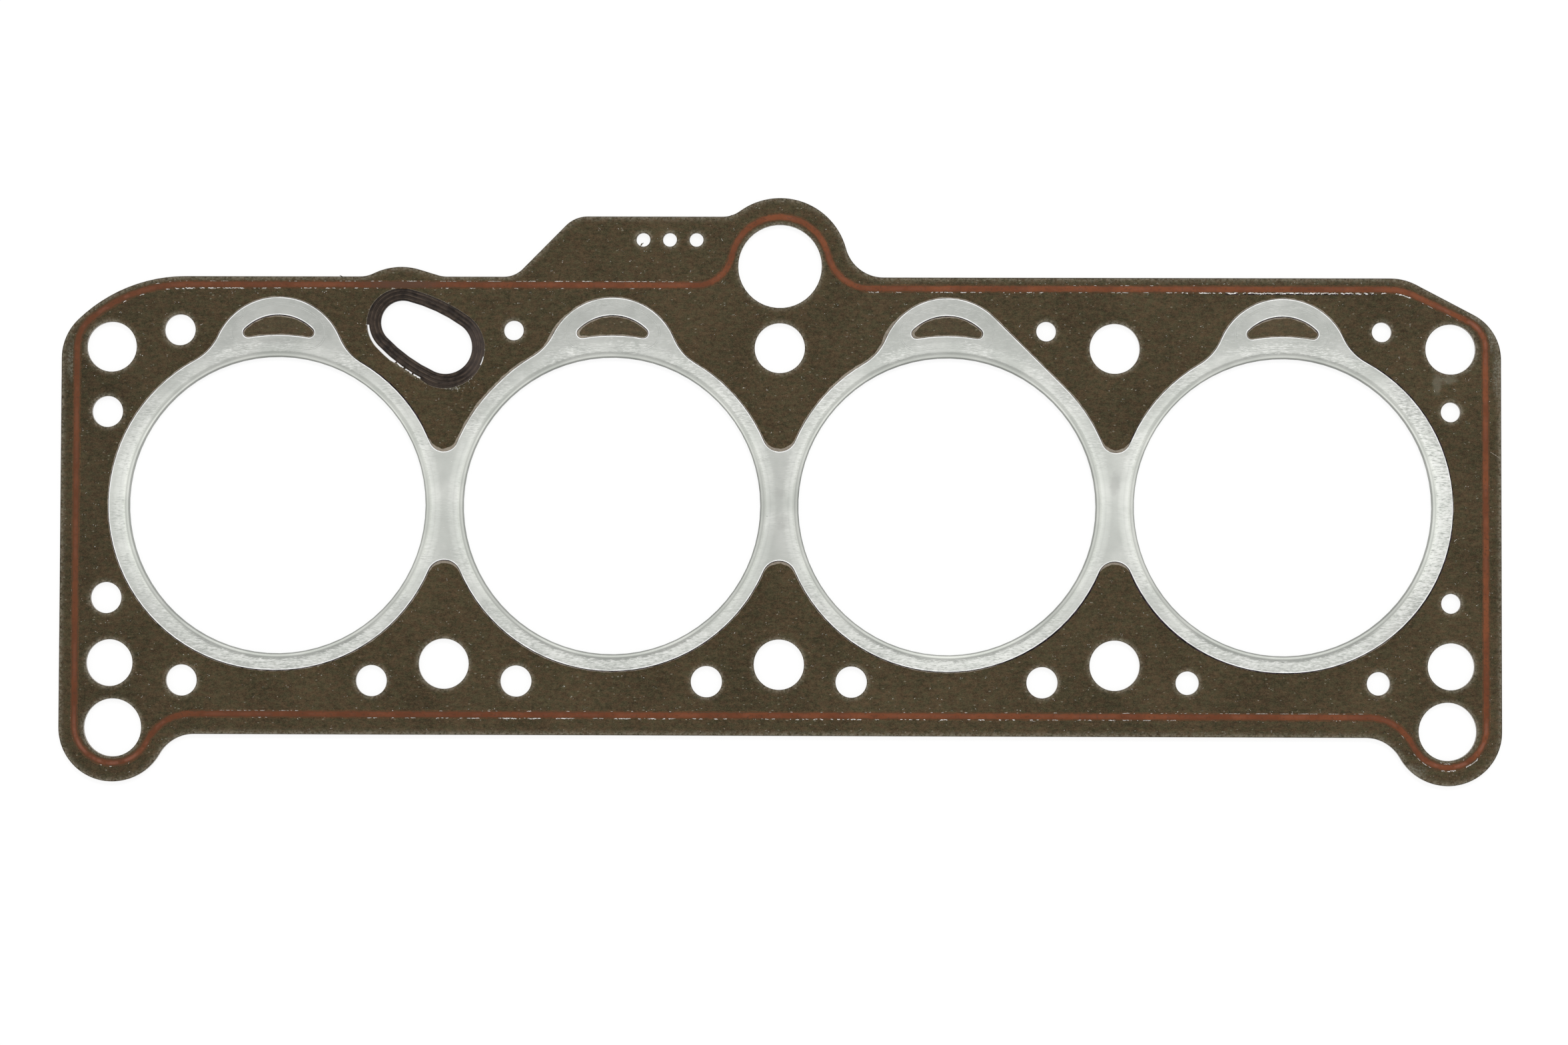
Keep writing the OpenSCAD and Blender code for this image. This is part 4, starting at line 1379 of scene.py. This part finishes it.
def window_coat(seed):
    """The coat that shows in the window of each ear."""
    hems = [hem(loop, seed + i, -1, WINDOW_HEM) for i, loop in enumerate(windows)]
    sheet = filled_sheet(hems, FACE_TOP + COAT_T / 2, COAT_T)
    piece("window_coat", sheet, WINDOW_COAT)


def seam(name, loop, way, seed):
    """The seam along an edge of the armour: dirt and painted shadow, wider below an edge that faces
    away from the light.
    """
    points = even_points(loop, COAT_STEP)
    width = np.maximum(SEAM_OUT - SEAM_SHY * plain_hem(points, HEM_SEED), SEAM_LEAST)
    width = width - SEAM_SHADE * way * outward(points)[:, 1]
    width = np.maximum(width, SEAM_THINNEST) + SEAM_RAG * ripple(points, SEAM_GRAIN, seed)
    edges = (pushed(points, -way * SEAM_IN), pushed(points, way * width))
    piece(name, strips([edges], COAT_TOP + LIFT), SEAM)


def armour_lines():
    """The rolled edge of the sheet and its windows, and the two lines pressed into each ear."""
    rolled = [pushed(even_points(armour_edge, EDGE_STEP), -EDGE_R * EDGE_IN)]
    rolled += [pushed(even_points(loop, EDGE_STEP), EDGE_R * EDGE_IN) for loop in windows]
    edge = round_line(rolled, EDGE_R, ARMOUR_TOP - EDGE_R * EDGE_SINK)
    piece("armour_rolled_edge", edge, EDGE_STEEL, smooth=True)
    pressed = [
        pushed(even_points(loop, PRESSED_STEP), out) for loop in windows for out in PRESSED_OUT
    ]
    lines = round_line(pressed, PRESSED_R, ARMOUR_TOP + PRESSED_RISE - PRESSED_R)
    piece("armour_pressed_lines", lines, PRESSED, smooth=True)


def tang_spots(keep_out, seed):
    """Places of the tang tips that show: two staggered rows, clear of every edge."""
    chance = random.Random(seed)
    low, high = outer_edge.min(axis=0), outer_edge.max(axis=0)
    spots = []
    for shift in (0.0, 0.5):
        start = [TANG_AT[k] + (shift - TANG_START) * TANG_PITCH[k] for k in (0, 1)]
        for i in range(TANG_ROWS):
            for j in range(TANG_ROWS):
                x, y = start[0] + i * TANG_PITCH[0], start[1] + j * TANG_PITCH[1]
                if low[0] < x < high[0] and low[1] < y < high[1]:
                    if chance.random() < TANG_SHOWN:
                        spots.append((x, y))
    points = np.array(spots)
    clear = inside(points, outer_edge) & ~near(points, outer_edge, TANG_CLEAR)
    for loop in keep_out:
        clear &= ~inside(points, loop) & ~near(points, loop, TANG_CLEAR)
    return points[clear]


def tang_tips(name, armour_loops, level, rise, seed):
    """The tips of the core's tangs that show on one face: a few slivers at each place."""
    spots = tang_spots([*small_holes, *armour_loops], seed)
    chance = random.Random(seed + 1)
    slivers = []
    for x, y in spots:
        for _ in range(chance.choice(TANG_SLIVERS)):
            across = x + chance.uniform(-1, 1) * TANG_JITTER[0]
            along = y + chance.uniform(-1, 1) * TANG_JITTER[1]
            slivers.append((across, along, *chance_values(chance, TANG_SLIVER)))
    piece(name, chips(slivers, level, rise, seed + 1), TANG)


def bead_bleed(name, loops, level, up):
    """The ragged brown bleed along both edges of a bead."""
    pairs = []
    for k, (loop, way) in enumerate(zip(loops, (1, -1))):
        points = even_points(loop, COAT_STEP)
        sway = BLEED_SWAY * ripple(points, BLEED_SWAY_LENGTH, 53 + k)
        rag = ripple(points, BLEED_GRAIN, 51 + k) + sway
        width = np.maximum(BLEED_W + BLEED_RAG * rag, BLEED_LEAST)
        pairs.append((pushed(points, -way * BLEED_IN), pushed(points, way * width)))
    piece(name, strips(pairs, level, up=up), BLEED)


def flake_share(points, kind):
    """What share of an edge of the bead has flakes, point by point, and how wide they may be."""
    share, widest = np.zeros((2, len(points)))
    for edge, x, y, reach, most, width in BEAD_FLAKES:
        if edge == kind:
            away = np.hypot(points[:, 0] - x, points[:, 1] - y) / reach
            own = most * np.clip(FLAKE_FADE - away, 0, 1)
            widest = np.where(own > share, width, widest)
            share = np.maximum(share, own)
    return share, widest


def bead_flakes(seed):
    """Flakes of silicone flash along the edges of the upper bead, with a painted shadow beside each
    broad one.
    """
    chance = random.Random(seed)
    flakes, shades = [], []
    for kind, loop, way in zip(("outer", "inner"), bead_edges, (1, -1)):
        points = even_points(loop, FLAKE_STEP)
        away = outward(points) * way
        ahead = np.roll(points, -1, 0) - points
        runs = sum(part * ripple(points, length, seed) for part, length in FLAKE_RUNS)
        around = range(-FLAKE_WINDOW, FLAKE_WINDOW + 1)
        runs = sum(np.roll(runs, k) < runs for k in around) / len(around)
        share, widest = flake_share(points, kind)
        for k in np.flatnonzero(runs < share):
            out = chance.uniform(0.0, widest[k])
            wide = chance.uniform(FLAKE_LEAST_W, widest[k])
            x, y = points[k] + away[k] * out
            turn = math.degrees(math.atan2(ahead[k][1], ahead[k][0]))
            length = chance.uniform(FLAKE_LENGTH[0], FLAKE_LENGTH[1] + widest[k])
            flakes.append((x, y, length, wide, turn + chance.gauss(0, FLAKE_TURN_DEG)))
            if widest[k] > BROAD_FLASH:
                x, y = points[k] + away[k] * (widest[k] + FLASH_SHADE_OUT)
                turn += chance.gauss(0, FLASH_SHADE_TURN_DEG)
                shades.append((x, y, length, FLASH_SHADE_W, turn))
    shade = chips(shades, COAT_TOP, FLASH_SHADE_RISE, seed)
    piece("bead_flash_shade", shade, SEAM)
    flash = chips(flakes, COAT_TOP + FLASH_SHADE_RISE, FLAKE_RISE, seed)
    piece("bead_flash_flakes", flash, FLASH)


notched_armour()
coat("upper_coat", [hem(armour_edge, HEM_SEED, 1)], FACE_TOP, 1)
flange_hems = [hem(loop, seed=41 + i, way=1) for i, loop in enumerate(flange_edges)]
coat("lower_coat", flange_hems, FACE_BOTTOM, -1)
window_coat(seed=31)
seam("armour_seam", armour_edge, way=1, seed=61)
for i, loop in enumerate(windows):
    seam(f"window_seam_{i + 1}", loop, way=-1, seed=61)
armour_lines()
tang_tips("upper_tang_tips", [armour_edge], COAT_TOP, TANG_RISE, seed=71)
tang_tips("lower_tang_tips", flange_edges, COAT_BOTTOM, -TANG_RISE, seed=73)
bead_bleed("upper_bead_bleed", bead_edges, COAT_TOP + LIFT, True)
bead_bleed("lower_bead_bleed", lower_bead_edges, COAT_BOTTOM - LIFT, False)
bead_flakes(seed=81)
piece("hole_burrs", chips(HOLE_BURRS, COAT_TOP, BURR_RISE, seed=83), COAT)
scratch = chips(COAT_SCRATCH, COAT_TOP, SCRATCH_RISE, seed=85)
piece("coat_scratch", scratch, FIBRE)


# Round the seal: rubber flash in the slack of its hole, and dust beside it


def polar(loop, middle, angles):
    """Distance from a middle to a closed outline in each direction."""
    offset = even_points(loop, 0.1) - middle
    turn = np.arctan2(offset[:, 1], offset[:, 0])
    order = np.argsort(turn)
    reach = np.hypot(offset[:, 0], offset[:, 1])[order]
    return np.interp(angles, turn[order], reach, period=2 * math.pi)


def outer_wall(node):
    """The outermost outline of a rounded ring, seen from above."""
    spots = sorted({(round(v.co.x / MM, 4), round(v.co.y / MM, 4)) for v in node.data.vertices})

    def half_turn(row):
        chain = []
        for spot in row:
            while len(chain) > 1 and (
                (chain[-1][0] - chain[-2][0]) * (spot[1] - chain[-2][1])
                <= (chain[-1][1] - chain[-2][1]) * (spot[0] - chain[-2][0])
            ):
                chain.pop()
            chain.append(spot)
        return chain[:-1]

    return np.array(half_turn(spots) + half_turn(spots[::-1]))


seal_edge = outer_wall(frame["nodes"]["oil_passage_seal"])
seal_middle = (seal_edge.min(axis=0) + seal_edge.max(axis=0)) / 2
seal_hole = next(loop for loop in small_holes if inside(seal_middle[None, :], loop)[0])
seal_turn = np.radians(np.arange(0, 360, SEAL_STEP_DEG))
heading = np.column_stack([np.cos(seal_turn), np.sin(seal_turn)])
hole_reach = polar(seal_hole, seal_middle, seal_turn)


def round_seal(reach):
    """An outline at a distance from the middle of the seal, one for each direction."""
    return seal_middle + heading * reach[:, None]


def seal_flash(seed):
    """The rubber flash in the slack of the seal's hole, open in a few places."""
    turn = np.degrees(seal_turn) + FLASH_RAG_DEG * ripple(heading * SEAL_R, FLASH_GRAIN, seed)
    closed = np.ones(len(turn), bool)
    for start, stop in FLASH_OPEN:
        closed &= ~((turn > start) & (turn < stop))
    under, into = FLASH_LAP
    inner = round_seal(polar(seal_edge, seal_middle, seal_turn) - under)
    flash = strips([(inner, round_seal(hole_reach + into))], FACE_TOP - FLASH_DROP, closed)
    piece("seal_flash", flash, RUBBER)


def seal_hole_creep(seed):
    """Coat that creeps in over the edge of the seal's hole."""
    turn = np.degrees(seal_turn)
    start, stop, fade, most = CREEP
    creep = np.clip(np.minimum(turn - start + fade, stop + fade - turn) / fade, 0, 1) * most
    rag = 1 + CREEP_RAG * ripple(heading * SEAL_R, CREEP_GRAIN, seed)
    creep = np.maximum(creep * rag, 0.0)
    edges = (round_seal(hole_reach - creep), round_seal(hole_reach + CREEP_LAP))
    mesh = strips([edges], COAT_TOP + LIFT, creep > CREEP_LEAST)
    mark_rim(mesh, [pale for pale in CREEP_PALE for _ in turn])
    piece("seal_hole_creep", mesh, COAT)


def seal_dust(seed):
    """Crumbs in the places beside the seal, and a few along the edge of its hole."""
    chance = random.Random(seed)
    crumbs = []
    for x, y, reach_x, reach_y, count in SEAL_DUST:
        for _ in range(count):
            spot = (x + chance.gauss(0, reach_x / 2), y + chance.gauss(0, reach_y / 2))
            crumbs.append((*spot, *chance_values(chance, CRUMB)))
    for x, y in pushed(even_points(seal_hole, RIM_CRUMB_STEP), RIM_CRUMB_OUT):
        if chance.random() < RIM_CRUMB_SHARE:
            turn = math.degrees(math.atan2(x - seal_middle[0], -(y - seal_middle[1])))
            crumbs.append((x, y, *chance_values(chance, RIM_CRUMB), turn))
    clear = ~inside(np.array([crumb[:2] for crumb in crumbs]), seal_hole)
    crumbs = [crumb for crumb, kept in zip(crumbs, clear) if kept]
    piece("seal_dust", chips(crumbs, COAT_TOP, CRUMB_RISE, seed + 1), DUST)


seal_flash(seed=91)
seal_hole_creep(seed=92)
seal_dust(seed=95)


# Table, dome, lamp and camera


def seen_directly(tree):
    """1 for rays from the eye, or that reach a surface through gloss or glass."""
    ray = put(tree, "ShaderNodeLightPath").outputs
    seen = calc(tree, "MAXIMUM", ray["Is Camera Ray"], ray["Is Glossy Ray"])
    return calc(tree, "MAXIMUM", seen, ray["Is Transmission Ray"])


def table_material():
    """White paper, which the eye sees nearly white all over, with a soft shadow."""
    material = bpy.data.materials.new("white_table")
    material.use_nodes = True
    tree = material.node_tree
    tree.nodes.clear()
    white = (TABLE_WHITE, TABLE_WHITE, TABLE_WHITE, 1)
    paper = put(tree, "ShaderNodeBsdfDiffuse", {"Color": white}).outputs[0]
    glowing = {"Color": (*WHITE, 1), "Strength": TABLE_GLOW}
    glow = put(tree, "ShaderNodeEmission", glowing).outputs[0]
    share = times(tree, seen_directly(tree), TABLE_GLOW_SHARE)
    mixed = put(tree, "ShaderNodeMixShader", {0: share, 1: paper, 2: glow}).outputs[0]
    put(tree, "ShaderNodeOutputMaterial", {"Surface": mixed})
    return material


def white_table():
    """The table under the gasket, which isn't part of it."""
    half = TABLE_SIZE_M / 2
    mesh = bpy.data.meshes.new("table")
    corners = [(-half, -half, 0), (half, -half, 0), (half, half, 0), (-half, half, 0)]
    mesh.from_pydata(corners, [], [(0, 1, 2, 3)])
    mesh.materials.append(table_material())
    table = placed("table", mesh)
    table.location = (0, 0, cad_box[0][2] - TABLE_DROP_M)


def studio_dome():
    """A pale dome; near the horizon the eye and glossy metal see the table's white."""
    world = bpy.data.worlds.new("studio_dome")
    world.use_nodes = True
    bpy.context.scene.world = world
    tree = world.node_tree
    tree.nodes.clear()
    up = axes(tree, put(tree, "ShaderNodeTexCoord").outputs["Generated"])["Z"]
    low_down = times(tree, spread(tree, up, *DOME_FOOT), seen_directly(tree))
    colour = blend(tree, low_down, ramp(tree, up, DOME), WHITE)
    level = lerp(tree, low_down, DOME_STRENGTH, 1.0)
    shade = put(tree, "ShaderNodeBackground", {"Color": colour, "Strength": level})
    put(tree, "ShaderNodeOutputWorld", {"Surface": shade.outputs[0]})


def soft_lamp():
    """One soft round lamp behind and above the part."""
    lamp = bpy.data.lights.new("soft_lamp", "AREA")
    lamp.shape = "DISK"
    lamp.size = LAMP_SIZE_M
    lamp.energy = LAMP_WATTS
    holder = placed("soft_lamp", lamp)
    holder.location = LAMP_AT_M
    holder.rotation_euler = (-Vector(LAMP_AT_M)).to_track_quat("-Z", "Y").to_euler()


def camera_above():
    """The camera, looking straight down."""
    camera = bpy.data.cameras.new("camera")
    camera.lens = CAMERA_LENS
    camera.sensor_width = CAMERA_SENSOR
    camera.clip_start = CAMERA_NEAR_M
    holder = placed("camera", camera)
    holder.location = CAMERA_AT_M
    holder.rotation_euler = [math.radians(angle) for angle in CAMERA_TURN_DEG]
    bpy.context.scene.camera = holder


white_table()
studio_dome()
soft_lamp()
camera_above()
bpy.context.scene.view_settings.view_transform = "Standard"
